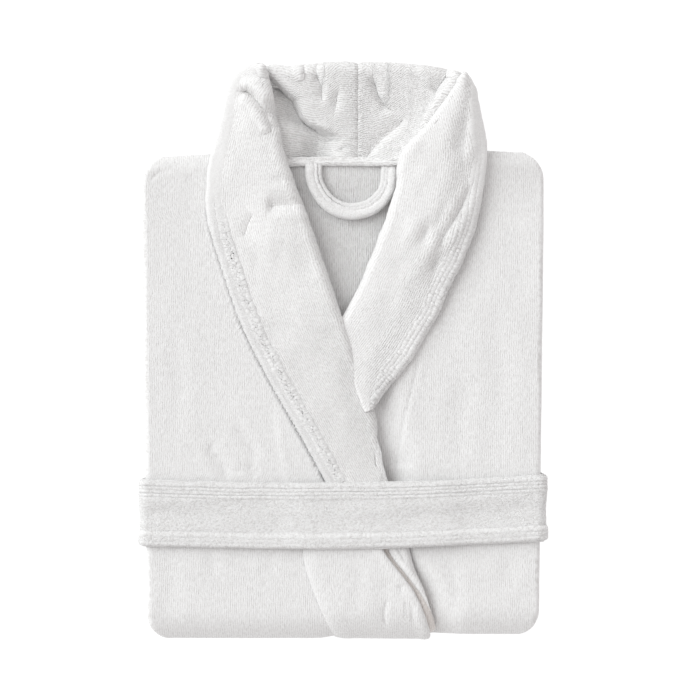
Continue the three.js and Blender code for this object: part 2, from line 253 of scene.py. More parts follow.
def closed_faces(rows, columns):
    """The faces of two grids of points, one behind the other, and of the wall round them."""
    count = rows * columns
    index = np.arange(count).reshape(rows, columns)
    a, b, c, d = index[:-1, :-1], index[:-1, 1:], index[1:, 1:], index[1:, :-1]
    faces = [np.stack([a, d, c, b], -1).reshape(-1, 4), np.stack([a, b, c, d], -1).reshape(-1, 4) + count]
    for line in (index[0], index[::-1, 0], index[:, -1], index[-1, ::-1]):
        faces.append(np.stack([line[:-1], line[1:], line[1:] + count, line[:-1] + count], -1))
    return np.concatenate(faces)


def point_values(mesh, name, values):
    """Store a number or a vector at each point of a mesh, where a material can read it."""
    kind, slot = ("FLOAT", "value") if values.ndim == 1 else ("FLOAT_VECTOR", "vector")
    attribute = mesh.attributes.new(name, kind, "POINT")
    attribute.data.foreach_set(slot, values.astype(np.float32).ravel())


def fill_mesh(mesh, points, faces):
    """Put four-cornered faces into an empty mesh, smooth, with their front outwards."""
    mesh.vertices.add(len(points))
    mesh.vertices.foreach_set("co", points.ravel())
    mesh.loops.add(faces.size)
    mesh.loops.foreach_set("vertex_index", faces.ravel().astype(np.int32))
    mesh.polygons.add(len(faces))
    mesh.polygons.foreach_set("loop_start", np.arange(0, faces.size, 4, dtype=np.int32))
    mesh.polygons.foreach_set("loop_total", np.full(len(faces), 4, np.int32))
    mesh.update(calc_edges=True)
    mesh.validate()
    mesh.polygons.foreach_set("use_smooth", np.ones(len(faces), bool))
    a, b, c, d = (points[faces[:, k]] for k in range(4))
    if float((np.cross(a, b) * c).sum() + (np.cross(a, c) * d).sum()) < 0:
        mesh.flip_normals()


def sheet_mesh(name, middle, thickness, material, grain, fuzz=0.12, seed=1, nap=1.0):
    """A closed sheet of cloth: a grid of places (x, y, z) down its middle, thickened both ways.

    grain is the cloth's own coordinates in millimetres, which the weave follows.
    nap is how far the pile stands.
    """
    middle = np.stack(middle, -1)
    rows, columns = middle.shape[:2]
    normal = np.cross(np.gradient(middle, axis=1), np.gradient(middle, axis=0))
    normal /= np.maximum(np.linalg.norm(normal, axis=2, keepdims=True), 1e-9)
    u, v = grain
    lumps = Noise(seed)
    top_rough = fuzz * (lumps(u, v, 1.7, 2.6) + 0.8 * lumps(u + 300, v, 3.1, 6.5))
    low_rough = fuzz * (lumps(u, v + 500, 1.9, 2.8) + 0.8 * lumps(u, v + 900, 3.3, 6.0))
    half = thickness[..., None] / 2
    body = np.minimum(1.0, thickness / 2.0)[..., None]
    top = middle + normal * (half + top_rough[..., None] * body)
    low = middle - normal * (half + low_rough[..., None] * body)
    mesh = bpy.data.meshes.new(name)
    points = np.concatenate([top.reshape(-1, 3), low.reshape(-1, 3)])
    fill_mesh(mesh, points * MM, closed_faces(rows, columns))
    cloth = np.stack([u, v, np.zeros_like(u)], -1).reshape(-1, 3)
    point_values(mesh, "cloth", np.concatenate([cloth, cloth + (0, 0, 40)]) * MM)
    point_values(mesh, "nap", np.tile(np.broadcast_to(nap, (rows, columns)).ravel(), 2))
    mesh.materials.append(material)
    obj = bpy.data.objects.new(name, mesh)
    bpy.context.scene.collection.objects.link(obj)
    return obj


def edge_round(distance, radius, thickness, least=0.25):
    """Thickness near an edge: it closes in a half round."""
    t = np.clip(distance / radius, 0, 1)
    return np.maximum(thickness * np.sqrt(1 - (1 - t) ** 2), least)


def thinned(*edges):
    """Thickness of a cloth that closes at several edges: a distance, radius, thickness and least for each."""
    found = edge_round(*edges[0])
    for edge in edges[1:]:
        found = np.minimum(found, edge_round(*edge))
    return found


def spread(low, high, step, fine=0.35, reach_in=5.0, ends=(True, True)):
    """Places from low to high about a step apart, closer together near the ends."""
    inner = np.linspace(0, 1, max(int(round(abs(high - low) / step)), 2) + 1)
    places = list(low + (high - low) * inner)
    sign = 1 if high > low else -1
    extra = [fine, 2.2 * fine, 4.2 * fine, 7.0 * fine, 10.5 * fine]
    if ends[0]:
        places += [low + sign * e for e in extra if e < reach_in]
    if ends[1]:
        places += [high - sign * e for e in extra if e < reach_in]
    places = np.unique(np.round(places, 4))
    return places if sign > 0 else places[::-1]


# ---------------------------------------------------------------- materials

ROW = 1.9  # from one row of loops to the next
WAVE_REPEAT = 0.314  # a wave texture repeats after this, over its scale
# a brownish painted shade for the deep gap between the facings below the belt
GAP_PAINTED_SHADE_TINT = (0.97, 0.925, 0.895, 1)


def set_inputs(node, values):
    """Set several of a node's inputs by name."""
    for socket, value in values.items():
        node.inputs[socket].default_value = value


class Tree:
    """A material's nodes, with short ways to add some and to join them up."""

    def __init__(self, name):
        self.material = bpy.data.materials.new(name)
        self.material.use_nodes = True
        self.nodes = self.material.node_tree.nodes
        self.link = self.material.node_tree.links.new
        self.shader = self.nodes["Principled BSDF"]

    def add(self, kind, **values):
        node = self.nodes.new(kind)
        for key, value in values.items():
            setattr(node, key, value)
        return node

    def stored(self, name, output):
        return self.add("ShaderNodeAttribute", attribute_name=name).outputs[output]

    def noise(self, grain, across, along, detail, roughness=0.5):
        """Noise stretched over the cloth: its size across and along the grain in millimetres."""
        mapping = self.add("ShaderNodeMapping")
        set_inputs(mapping, {"Scale": (1 / (across * MM), 1 / (along * MM), 1 / (across * MM))})
        self.link(grain, mapping.inputs["Vector"])
        noise = self.add("ShaderNodeTexNoise")
        set_inputs(noise, {"Scale": 1.0, "Detail": detail, "Roughness": roughness})
        self.link(mapping.outputs["Vector"], noise.inputs["Vector"])
        return noise.outputs["Fac"]

    def math(self, operation, first, second):
        node = self.add("ShaderNodeMath", operation=operation)
        for socket, value in zip(node.inputs, (first, second)):
            if isinstance(value, float):
                socket.default_value = value
            else:
                self.link(value, socket)
        return node.outputs[0]

    def remap(self, value, low, high, to_low, to_high):
        node = self.add("ShaderNodeMapRange")
        set_inputs(node, {"From Min": low, "From Max": high, "To Min": to_low, "To Max": to_high})
        self.link(value, node.inputs["Value"])
        return node.outputs["Result"]


def pile_height(tree, grain, ribs, loops, rib_size, rib_run, wale):
    """Broken ribs along the grain, tufted loops, and rows of loops across the cloth; nap scales them all."""
    rib = tree.noise(grain, rib_size, rib_run, 2.0)
    tuft = tree.noise(grain, 0.8, 1.1, 2.0, 0.65)
    rows = tree.add("ShaderNodeTexWave", bands_direction="X")
    set_inputs(rows, {"Scale": WAVE_REPEAT / (ROW * MM), "Distortion": 5.0,
                      "Detail": 2.0, "Detail Scale": 0.22})
    tree.link(grain, rows.inputs["Vector"])
    pile = tree.math("ADD", tree.math("MULTIPLY", rib, ribs), tree.math("MULTIPLY", tuft, 0.6 * loops))
    pile = tree.math("ADD", pile, tree.math("MULTIPLY", rows.outputs["Fac"], 0.5 * wale))
    pile = tree.math("SUBTRACT", pile, 0.5 * (ribs + 0.6 * loops + 0.5 * wale))
    return tree.math("MULTIPLY", pile, tree.stored("nap", "Fac"))


def cotton_colour(tree, grain, pile, tone):
    """White, with painted shade that darkens it between the ribs, slowly varying over the cloth, and with a
    brownish painted shade deep in a gap.
    """
    mix = tree.add("ShaderNodeMix", data_type="RGBA")
    # painted shade: the cloth is darker and a little browner where the pile is low, between the ribs
    between = (tone * 0.80, tone * 0.79, tone * 0.78, 1)
    set_inputs(mix, {"A": between, "B": (tone, tone * 0.999, tone * 0.998, 1)})
    tree.link(tree.remap(pile, -0.36, 0.14, 0.0, 1.0), mix.inputs["Factor"])
    shade = tree.add("ShaderNodeMix", data_type="RGBA", blend_type="MULTIPLY")
    shade.inputs["Factor"].default_value = 1.0
    tree.link(mix.outputs["Result"], shade.inputs["A"])
    blotch = tree.noise(grain, 22.0, 34.0, 3.0)
    tree.link(tree.remap(blotch, 0.3, 0.7, 0.98, 1.0), shade.inputs["B"])
    # painted shade: a brownish tint wherever a sheet's gap mask is set
    painted_gap_shade = tree.add("ShaderNodeMix", data_type="RGBA", blend_type="MULTIPLY")
    tree.link(tree.stored("painted_gap_shade", "Fac"), painted_gap_shade.inputs["Factor"])
    tree.link(shade.outputs["Result"], painted_gap_shade.inputs["A"])
    painted_gap_shade.inputs["B"].default_value = GAP_PAINTED_SHADE_TINT
    return painted_gap_shade.outputs["Result"]


def terry(name, tone, ribs=1.0, loops=1.0, rib_size=1.25, rib_run=5.5, depth=1.0, wale=0.0):
    """White cotton pile, as a bump and a faint painted shade between the ribs, both following the cloth's
    grain.
    """
    tree = Tree(name)
    set_inputs(tree.shader, {"Roughness": 0.95, "Specular IOR Level": 0.12,
                             "Sheen Weight": 0.12, "Sheen Roughness": 0.6})
    grain = tree.stored("cloth", "Vector")
    pile = pile_height(tree, grain, ribs, loops, rib_size, rib_run, wale)
    bump = tree.add("ShaderNodeBump")
    set_inputs(bump, {"Strength": 1.0, "Distance": 0.5 * depth * MM})
    tree.link(pile, bump.inputs["Height"])
    tree.link(bump.outputs["Normal"], tree.shader.inputs["Normal"])
    tree.link(cotton_colour(tree, grain, pile, tone), tree.shader.inputs["Base Color"])
    return tree.material


VELOUR = terry("velour", 0.91, ribs=1.1, loops=1.2, rib_size=0.85, rib_run=4.2, depth=1.05, wale=0.42)
LAPEL = terry("lapel", 0.975, ribs=1.1, loops=1.3, rib_size=0.85, rib_run=4.0, depth=1.15, wale=0.6)
COLLAR = terry("collar", 0.955, ribs=1.5, loops=1.6, rib_size=1.0, rib_run=2.6, depth=1.3, wale=0.9)
# the back's inner face: its lower tone is painted shade for the neck opening
INSIDE_PAINTED_SHADE = terry("loop_terry", 0.82, ribs=1.3, loops=1.3, rib_size=0.95, rib_run=4.4, depth=1.3, wale=0.7)
BINDING = terry("binding", 0.93, ribs=0.6, loops=2.1, rib_size=1.6, rib_run=2.4, depth=1.3)
BELT = terry("belt_terry", 0.95, ribs=1.5, loops=2.6, rib_size=1.5, rib_run=2.2, depth=1.4)


# ---------------------------------------------------------------- the frame's own lines

TABLE_Z = 0.0
low_front, high_front = (np.array(c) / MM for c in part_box("right_front_panel"))
sleeve_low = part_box("right_sleeve")[0].z / MM
MIDDLE_Z = sleeve_low - 0.15  # between the torso leaf and the skirt leaf
FRONT_Z = high_front[2]
SHOULDER_Y = high_front[1]
FOLD_Y = low_front[1]
FOLD_CENTRE_Y = FOLD_Y + MIDDLE_Z - TABLE_Z
belt_high = np.array(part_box("belt")[1]) / MM
tape_low, tape_high = (np.array(c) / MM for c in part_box("neck_tape"))
BELT_PATH_Y = belt_high[1] + 3  # the belt slides from here to the fold and past it
BELT_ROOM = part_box("back_panel")[0].z / MM

front_edge = line_of(["right_lapel_roll", "right_front_facing"], FOLD_Y, 251, 1)
left_roll = line_of(["left_lapel_roll"], 30, 251, -1)
facing_edge = line_of(["right_front_facing"], FOLD_Y, -118, -1)
under_edge = line_of(["left_front_facing"], FOLD_Y + 3, -118, 1)
belt_upper = line_of(["belt"], -179, 179, 1, along=0, out=1)


# ---------------------------------------------------------------- shape of the bundle

CLOTH = 6.0  # one soft ply of terry
TOP_HALF = -low_front[0]
BOTTOM_HALF = 173.0
LOWER_HALF = 168.5
CORNER = 22.0
HEM_Y = 156.0
SIDE_ROUND = 1.4
RETURN_DEPTH = 96.0  # how far the turned-in side of a front runs back
SKIRT_RIGHT, SKIRT_LEFT = 76.0, 77.6  # x of the fronts' free edges on the skirt leaf
LAP_UNDER = 26  # the left front runs on this far under the right one
NECK_UNDER = 14  # and this far under its own lapel's roll
BACK_LEVEL = 13.4  # middle of the back above the middle of the bundle
BACK_CLOTH = 6.4
PLY_HIGH = FRONT_Z - MIDDLE_Z - CLOTH / 2  # middle of the outer ply above the middle of the bundle
PLY_LOW = 4.6  # middle of the turned-in side
SHOULDER_MIDDLE = 39.7
PILLOW = 12.0  # the shoulders round off over this length


def half_width(y, lower):
    """Half the width over the sides, with round corners at the bottom fold."""
    straight = np.interp(y, [FOLD_Y, SHOULDER_Y], [BOTTOM_HALF, TOP_HALF])
    straight = straight + (LOWER_HALF - straight) * lower
    past = np.clip((FOLD_Y + CORNER - y) / CORNER, 0, 1)
    return straight - CORNER * (1 - np.sqrt(1 - past**2))


def shoulder_corner(y):
    """How far the side has drawn in towards the top of the shoulder."""
    past = np.clip((y - (SHOULDER_Y - CORNER)) / CORNER, 0, 0.995)
    return CORNER * (1 - np.sqrt(1 - past**2))


def leaf_rows(fine, coarse):
    """Places along the cloth from the shoulder over the bottom fold to the hem: y, turn at the fold, leaf."""
    upper = [(y, 0.0, 0.0) for y in spread(SHOULDER_Y - 0.6, FOLD_CENTRE_Y, fine, ends=(True, False))]
    bend = [(FOLD_CENTRE_Y, a, 0.5) for a in np.linspace(0, math.pi, 20)[1:-1]]
    lower = [(y, math.pi, 1.0) for y in spread(FOLD_CENTRE_Y, HEM_Y, coarse, ends=(False, True))]
    return np.array(upper + bend + lower)


def fold_path(rows, height):
    """Where a point at some height over the middle goes: y and z on the folded path."""
    y = rows[:, None, 0] - height * np.sin(rows[:, None, 1])
    z = MIDDLE_Z + height * np.cos(rows[:, None, 1])
    return y, z


# rungs from a lapel's free edge to its roll, from the belt up to its top
RIGHT_RUNGS = [
    ((-4, -133), (44, -133)), ((-12, -118), (41, -118)), ((-21, -101), (36.5, -100)),
    ((-40, -67), (28.5, -67)), ((-60, -32), (17.5, -32)), ((-77, 0), (7.5, 0)),
    ((-90, 28), (-2.5, 28)), ((-101, 60), (-14, 60)), ((-110, 88), (-22, 86)),
    ((-117, 112), (-31.5, 111)), ((-119.5, 130), (-37, 128)), ((-119.5, 148), (-45, 146)),
    ((-117, 166), (-51, 164)), ((-113, 182), (-55.5, 181)), ((-108.5, 200), (-59.5, 197)),
    ((-105, 216), (-62, 210)), ((-102, 229), (-63.5, 222)), ((-98, 239), (-65, 231)),
    ((-92, 246), (-67, 238)), ((-84.5, 250), (-68.5, 243.5)), ((-77, 252), (-70, 248)),
    ((-70, 252.6), (-70.8, 250.8)),
]
LEFT_RUNGS = [
    ((25.5, -51), (21, -53)), ((28.5, -46.5), (16, -42)), ((36, -36), (8, -26)),
    ((44, -26.5), (2, -10)), ((52, -17), (-3, 5)), ((60.5, -6), (-3, 18)),
    ((69, 8), (1.5, 28.5)), ((77, 22.5), (8, 39)), ((84, 34.5), (13.5, 50)),
    ((91, 51), (20, 64)), ((98, 65), (26, 78)), ((104, 77), (30.5, 88)),
    ((109, 90), (35, 101)), ((114, 104), (40, 114)), ((118, 119), (44.5, 128)),
    ((121.5, 135), (48.5, 143)), ((124, 153), (50, 157)), ((126, 168), (52, 169)),
    ((126.3, 181), (58.5, 179.5)), ((123.5, 195), (68, 189.5)), ((120.5, 209), (78, 200)),
    ((118, 222), (87, 212)), ((115.5, 233), (95, 223.5)), ((111.5, 241), (101, 233)),
    ((106, 246), (104, 240)),
]

# the edges of the facings, which show faintly through the two fronts
FACING_LINE = [(-60, -30), (-56, -78), (-49, -114), (-40, -150), (-36, -176)]
UNDER_LINE = [(67, 0), (63, -24), (58, -43), (53, -65), (49, -90), (45, -116)]


RIGHT_MARKS = [
    (crease, [(-121, -80), (-110, -96), (-98, -112)], 1.7, 5.5),
    (crease, [(-98, -64), (-86, -78), (-73, -94)], 1.2, 5.0),
    (crease, [(-84, -100), (-76, -112)], 0.9, 4.0),
    (crease, [(-150, 20), (-144, -30), (-149, -84)], 0.5, 7),
    (ridge, FACING_LINE, 0.5, 3.6, 0.25),
    (step_across, FACING_LINE, 0.4, 3.0),
    (crease, [(-174, 157), (-160, 166), (-141, 168)], 0.8, 2.2, 0.3),
    (crease, [(ex - 1.6, ey - 0.6) for (ex, ey), _ in RIGHT_RUNGS[1:11]], 2.4, 1.1, 0.05),
    (crease, [(-160, -176), (-150, -205), (-158, -240)], 0.6, 8),
    (crease, [(-120, -172), (-112, -196)], 0.8, 6),
    (crease, [(-60, -172), (-66, -200)], 0.6, 6),
]


def right_relief(x, y):
    """What the cloth of the right front does between the side and the lapel."""
    return with_marks(waves(x, y, 11, (0.7, 0, 60, 90), (0.35, 200, 24, 60)), x, y, RIGHT_MARKS)


LEFT_MARKS = [
    (crease, UNDER_LINE, 0.6, 2.0, 0.12),
    (crease, [(110, -20), (100, -60), (104, -104)], 0.7, 9),
    (crease, [(140, 60), (136, 0), (146, -60)], 0.6, 10),
    (crease, [(92, -180), (100, -214), (96, -240)], 0.8, 6),
    (crease, [(150, -176), (142, -210)], 0.6, 7),
]


def left_relief(x, y):
    """What the cloth of the left front does."""
    return with_marks(waves(x, y, 23, (0.75, 0, 55, 80), (0.4, 300, 22, 48)), x, y, LEFT_MARKS)


def belt_lift(y, lower):
    """Room under the skirt leaf for the belt, and a little for the pockets."""
    belt = BELT_ROOM * smooth((BELT_PATH_Y + 3 - y) / 10)
    pocket = 2.9 * smooth((y + 110) / 8) * smooth((78 - y) / 10)
    return np.maximum(belt, pocket) * lower


def front_free_edge(side, at_y, turned):
    """The hidden free edge of a front, as x down the cloth: under the lap above, and along the skirt leaf."""
    if side < 0:
        edge = front_edge(at_y) - 0.8 - 14.2 * smooth((at_y + 134) / 22)
        return edge + (SKIRT_RIGHT - edge) * turned
    lapped = front_edge(at_y) - LAP_UNDER
    open_neck = left_roll(np.clip(at_y, 30, 250)) + NECK_UNDER
    edge = lapped + (open_neck - lapped) * smooth((at_y - 4) / 30)
    return edge + (SKIRT_LEFT - edge) * turned


def front_path(side, rows, edge, lower, at_y):
    """A front laid out flat, round its side and back inwards: x, and height over the middle of the bundle."""
    share = spread(0, 1, 1 / 132, ends=(False, False))
    width = half_width(at_y, lower[:, 0]) - CLOTH / 2 - SIDE_ROUND
    flat_x = edge[:, None] + (side * width[:, None] - edge[:, None]) * share[None, :]
    angle = np.linspace(0, math.pi, 17)[1:]
    bow = np.sign(np.cos(angle)) * np.abs(np.cos(angle)) ** 0.8
    swell = np.sin(angle) ** 0.8
    inward = np.linspace(0, RETURN_DEPTH, 13)[1:]
    bend = (PLY_HIGH + PLY_LOW) / 2 + (PLY_HIGH - PLY_LOW) / 2 * bow
    one_row = np.concatenate([np.full(len(share), PLY_HIGH), bend, np.full(len(inward), PLY_LOW)])
    height = np.repeat(one_row[None, :], len(rows), 0)
    y, z = fold_path(rows, height)
    own_half = half_width(y, lower) - CLOTH / 2
    turn = len(share) + len(angle)
    bend_x = own_half[:, len(share):turn] - SIDE_ROUND * (1 - swell[None, :])
    back_x = own_half[:, turn:] - SIDE_ROUND - inward[None, :]
    x = np.concatenate([flat_x, side * bend_x, side * back_x], 1)
    # the flat part gives way to the round corners at the shoulder and at the bottom fold
    corner = shoulder_corner(y) * (rows[:, None, 2] < 0.25)
    reach_out = np.clip((side * x - (own_half - SIDE_ROUND - 60)) / (60 + SIDE_ROUND), 0, 1)
    return x - side * corner * reach_out**1.5, y, z, height


def front_heights(side, x, y, z, rows, upper, outside):
    """The marks on the outer ply, and how it thins beside the lap: z, and the cloth's thickness."""
    relief = (right_relief if side < 0 else left_relief)(x, y)
    before_turn = np.cos(rows[:, None, 1]) * 0.5 + 0.5
    z = z + relief * outside * before_turn * upper
    if side < 0:
        thin = smooth((x - (front_edge(y) - 70)) / 40) * upper
        return z + 0.9 * thin, CLOTH - 1.8 * thin
    beside = x - front_edge(y)
    dip = smooth((34 - beside) / 31) * upper * smooth((40 - y) / 30)
    return z - 7.6 * dip, CLOTH - 2.4 * dip


def front_settled(x, y, z, over, outside):
    """Where the cloth really lies: round at the shoulders, which slope, and longer on the right below."""
    shrink = np.sqrt(1 - np.clip((y - (SHOULDER_Y - PILLOW)) / PILLOW, 0, 0.97) ** 2)
    z = np.where(over, SHOULDER_MIDDLE + (z - SHOULDER_MIDDLE) * shrink, z)
    drop = np.interp(x, [-170, -115, 127, 165], [-8, -4.5, -1.6, -3.2])
    y = y + drop * smooth((y - 90) / 80) * over
    y = y - 3.6 * smooth((5 - x) / 30) * smooth((-190 - y) / 50)
    z = z - 0.17 * np.maximum(x - 115, 0) * smooth((y - 100) / 60) * over * outside
    return y, z


def front_panel(side):
    """A front of the robe: down from the shoulder, under at the bottom fold, its side turned in."""
    rows = leaf_rows(2.3, 8.0)
    lower = smooth((rows[:, 1] / math.pi - 0.25) / 0.5)[:, None]
    at_y = rows[:, 0] - PLY_HIGH * np.sin(rows[:, 1])
    edge = front_free_edge(side, at_y, smooth((rows[:, 1] - 1.75) / 1.0))
    x, y, z, height = front_path(side, rows, edge, lower, at_y)
    outside = smooth((height - PLY_LOW) / (PLY_HIGH - PLY_LOW))
    over = rows[:, None, 2] < 0.25
    z, thickness = front_heights(side, x, y, z, rows, 1 - lower, outside)
    z = z + belt_lift(y, lower) * outside
    y, z = front_settled(x, y, z, over, outside)
    from_edge = np.abs(x - edge[:, None])
    from_hem = np.abs(rows[:, None, 0] - HEM_Y) + 99 * over
    rim = thinned((from_edge, 2.6, CLOTH, 0.6), (from_hem, 2.5, CLOTH, 0.6))
    thickness = np.minimum(thickness, rim)
    along = np.concatenate([[0], np.cumsum(np.hypot(np.diff(y[:, 0]), np.diff(z[:, 0])))])
    steps = np.hypot(np.diff(x, axis=1), np.diff(z, axis=1))
    u = side * np.concatenate([np.zeros((len(rows), 1)), np.cumsum(steps, 1)], 1) + edge[:, None]
    v = np.repeat(-along[:, None], x.shape[1], 1)
    obj = sheet_mesh(sided(side, "front_cloth"), (x, y, z), thickness, VELOUR, (u, v),
                     seed=31 if side < 0 else 32)
    belongs(obj, "velour", sided(side, "front_panel"))


def back_cloth():
    """The back of the robe: its inner face shows in the neck opening, darkened by painted shade in its tone;
    the sides turn with the fronts.
    """
    rows = np.array([r for r in leaf_rows(2.4, 9.0) if r[0] < SHOULDER_Y - 8])
    columns = np.unique(np.concatenate([np.linspace(-1, 1, 41) * 0.999, np.linspace(-0.36, 0.37, 82)]))
    lower = smooth((rows[:, 1] / math.pi - 0.25) / 0.5)[:, None]
    y, z = fold_path(rows, np.full((len(rows), len(columns)), BACK_LEVEL))
    half = half_width(y, lower) - 13.0 - shoulder_corner(y) * (rows[:, None, 2] < 0.25) * 0.8
    x = columns[None, :] * half
    z = z + waves(x, y, 41, (0.5, 0, 16, 120), (0.5, 70, 42, 160)) * (1 - lower)
    z = z - 1.6 * hump(x - 2, 30) * (1 - lower) * smooth((y - 10) / 60) * smooth((160 - y) / 30)
    z = z + 2.0 * smooth((y - 138) / 24) * smooth((x + 42) / 20) * (1 - lower)
    z = z + belt_lift(y, lower) * 0.5
    thickness = edge_round(np.minimum(x + half, half - x), 2.6, BACK_CLOTH, 0.6)
    obj = sheet_mesh("back_cloth", (x, y, z), thickness, INSIDE_PAINTED_SHADE, (x, y), seed=33)
    belongs(obj, "loop_terry", "back_panel")


front_panel(-1)
front_panel(1)
back_cloth()


# ---------------------------------------------------------------- lapels

LAPEL_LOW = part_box("right_lapel")[0].z / MM
LAPEL_CLOTH = 6.2
ROLL = 6.4  # radius of the roll at the middle of the cloth
CREST = 62.6  # middle of the cloth along the roll
BELT_GRIP = 56.4  # middle of the cloth where the belt holds it
BAND = 17.0  # width of the stitched band
CURL_TURN = 175  # degrees that the cloth turns down into the neck along the roll
CURL_FLOOR = 47.4  # it stops at the back of the robe


# the valley that cuts off the ear, a lobe of cloth where the collar turns over
EAR_VALLEY = [(-91, 229), (-84.5, 228.4), (-79, 224.5), (-73, 217.5),
              (-68.6, 211), (-64, 203), (-60, 193), (-56, 181)]

RIGHT_LAPEL_MARKS = [
    # the ear, with the valley beside it, which ends in a pit
    (tuck, EAR_VALLEY[::-1], 2.8, 6.0, 3.0, 0.2),
    (crease, EAR_VALLEY[:7], 6.5, 3.8, 0.12),
    (bump_spot, -86.5, 228.2, 4.5, 2.8, -4.2, -0.1),
    (ridge, [(-84, 240), (-75, 235), (-67.5, 224), (-63.5, 211), (-60, 197)], 2.2, 4.6, 0.2),
    (ridge, [(-97, 224), (-88, 214), (-79, 202), (-71, 187)], 1.2, 7.0, 0.25),
    (crease, [(-78, 250), (-74, 243), (-71, 236)], 1.0, 1.6, 0.3),
    # soft folds across the lapel below the shoulder
    (tuck, [(-70, 127), (-60, 127.3), (-48, 128.6), (-37, 128)], 5.4, 7.0, 6.0, 0.25),
    (crease, [(-66, 127), (-56, 127.6), (-48, 128.6), (-40, 128.2)], 1.0, 1.2, 0.25),
    (bump_spot, -52, 122, 15, 7, 1.0),
    (tuck, [(-88, 96), (-86.5, 102), (-82, 114), (-77, 124)], 1.7, 5.0, 9.0, 0.3),
    (crease, [(-88, 98), (-86.5, 102), (-82, 114), (-78, 122.6)], 0.5, 1.2, 0.25),
    (crease, [(-44, 158), (-54, 151), (-66, 153)], 0.9, 4.0, 0.4),
    (bump_spot, -76, 79, 6, 10, -0.9, 0.3),
    (bump_spot, -57, 84, 6, 9, -0.8, 0.2),
    (bump_spot, -66, 92, 8, 9, 0.8),
    (pucker, [(-40, 66), (-28, 61), (-15, 64)], 0.9, 3.5, 8.0, 0.4),
    (pucker, [(-26, 24), (-14, 20), (-1, 26)], 0.8, 3.5, 8.0, 0.4),
    (bump_spot, -30, 30, 22, 14, 0.6, -0.5),
    (bump_spot, 2, -36, 14, 20, 0.6, 0.4),
]


def right_lapel_relief(x, y):
    """What the cloth of the right lapel does between its free edge and its roll."""
    return with_marks(waves(x, y, 51, (0.9, 0, 28, 32), (0.5, 120, 13, 16)), x, y, RIGHT_LAPEL_MARKS)


LEFT_LAPEL_MARKS = [
    # a long soft ridge inside the free edge, and a valley where the stitched edge starts
    (ridge, [(116, 236), (113, 208), (112, 181), (108, 158)], 2.2, 4.6, 0.25),
    (crease, [(108, 214), (103, 190), (98, 165)], 1.3, 7.0, 0.3),
    (crease, [(114, 150), (107, 134), (98, 118), (88, 101), (80, 86)], 2.2, 3.8, 0.25),
    (ridge, [(118, 140), (108, 117), (98, 98)], 1.0, 4.0, 0.25),
    # dents and swellings where the lapel bends
    (bump_spot, 81, 78, 5.5, 9, -3.2, -0.5),
    (bump_spot, 72, 104, 5.5, 11, -3.0, -0.4),
    (bump_spot, 77, 91, 4.5, 9, 1.6, -0.5),
    (bump_spot, 66, 74, 7, 12, 1.4, -0.5),
    (bump_spot, 60, 106, 7, 15, 1.1, -0.4),
    (bump_spot, 86, 118, 6, 15, -1.6, -0.3),
    (bump_spot, 90, 150, 8, 22, 0.8, -0.2),
    (crease, [(48, 60), (39, 32), (30, 10)], 0.8, 7.0, 0.3),
    (bump_spot, 46, 38, 11, 20, 1.0, -0.45),
]


def left_lapel_relief(x, y):
    """The same on the left lapel."""
    return with_marks(waves(x, y, 61, (0.9, 0, 24, 34), (0.55, 90, 11, 17)), x, y, LEFT_LAPEL_MARKS)


def lapel_grid(rungs, step):
    """Points on the free edge and on the roll, rung by rung, and how far the last rung is."""
    flat = [(*edge, *roll) for edge, roll in rungs]
    whole = sum(math.dist(a, b) for a, b in zip(flat[:-1], flat[1:]))
    path, run = rounded_path(flat, int(whole / 1.5 / step))
    return path[:, :2], path[:, 2:], run[-1] - run


def lapel_height(side, y, from_outer, width, to_end):
    """Height of the middle of the lapel's cloth: low at the free edge, high along the roll."""
    share = np.clip(from_outer / np.maximum(width, 1), 0, 1)
    low = LAPEL_LOW + LAPEL_CLOTH / 2 - 0.1
    if side < 0:
        gripped = smooth((16 - y) / 128)
        crest = CREST + (BELT_GRIP + 0.8 - CREST) * gripped
        low = low + (BELT_GRIP - low) * gripped
        z = low + (crest - low) * share * (1.2 - 0.2 * share)
        z = z - 4.6 * smooth((30 - y) / 90) * np.clip((share - 0.2) / 0.8, 0, 1) ** 1.4
    else:
        crest = CREST + 5.4 - 10.4 * smooth((115 - y) / 95) - 3.0 * smooth((y - 200) / 40)
        low = low - 0.6 + 2.2 * smooth((y - 10) / 40) * smooth((190 - y) / 40)
        highest = 0.62
        rising = np.clip((highest - share) / highest, 0, 1)
        falling = np.clip((share - highest) / (1 - highest), 0, 1)
        z = low + (crest - low) * (1 - rising**1.9) - 2.2 * falling**2 * smooth((y - 10) / 60)
    hanging = smooth((y - 168) / 20)  # past the shoulder the edge falls away to the collar behind
    edge = np.clip(1 - from_outer / 6.0, 0, 1)
    z = z - hanging * 3.6 * (1 - np.sqrt(1 - 0.98 * edge**2))
    top = np.clip(1 - to_end / 6.0, 0, 1)
    return z - 3.4 * (1 - np.sqrt(1 - 0.98 * top**2))


def lapel_parts(side):
    """A lapel's free edge and roll, a little uneven, its width, and the way across from edge to roll."""
    right = side < 0
    edge, roll, to_end = lapel_grid(RIGHT_RUNGS if right else LEFT_RUNGS, 0.8)
    width = np.linalg.norm(roll - edge, axis=1)
    wave = Noise(71 if right else 72)
    place = np.arange(len(edge)) * 1.3
    unit = (roll - edge) / width[:, None]
    roll = roll + unit * (0.8 * wave(place, 0, 20) + 0.35 * wave(place + 400, 0, 7.5))[:, None]
    edge = edge + unit * (0.5 * wave(place, 9, 17) + 0.3 * wave(place + 90, 0, 6.5))[:, None]
    return edge, roll, np.linalg.norm(roll - edge, axis=1), unit, to_end, place


def band_width(width):
    """The stitched band narrows where the lapel does."""
    return np.minimum(BAND, 0.32 * width)


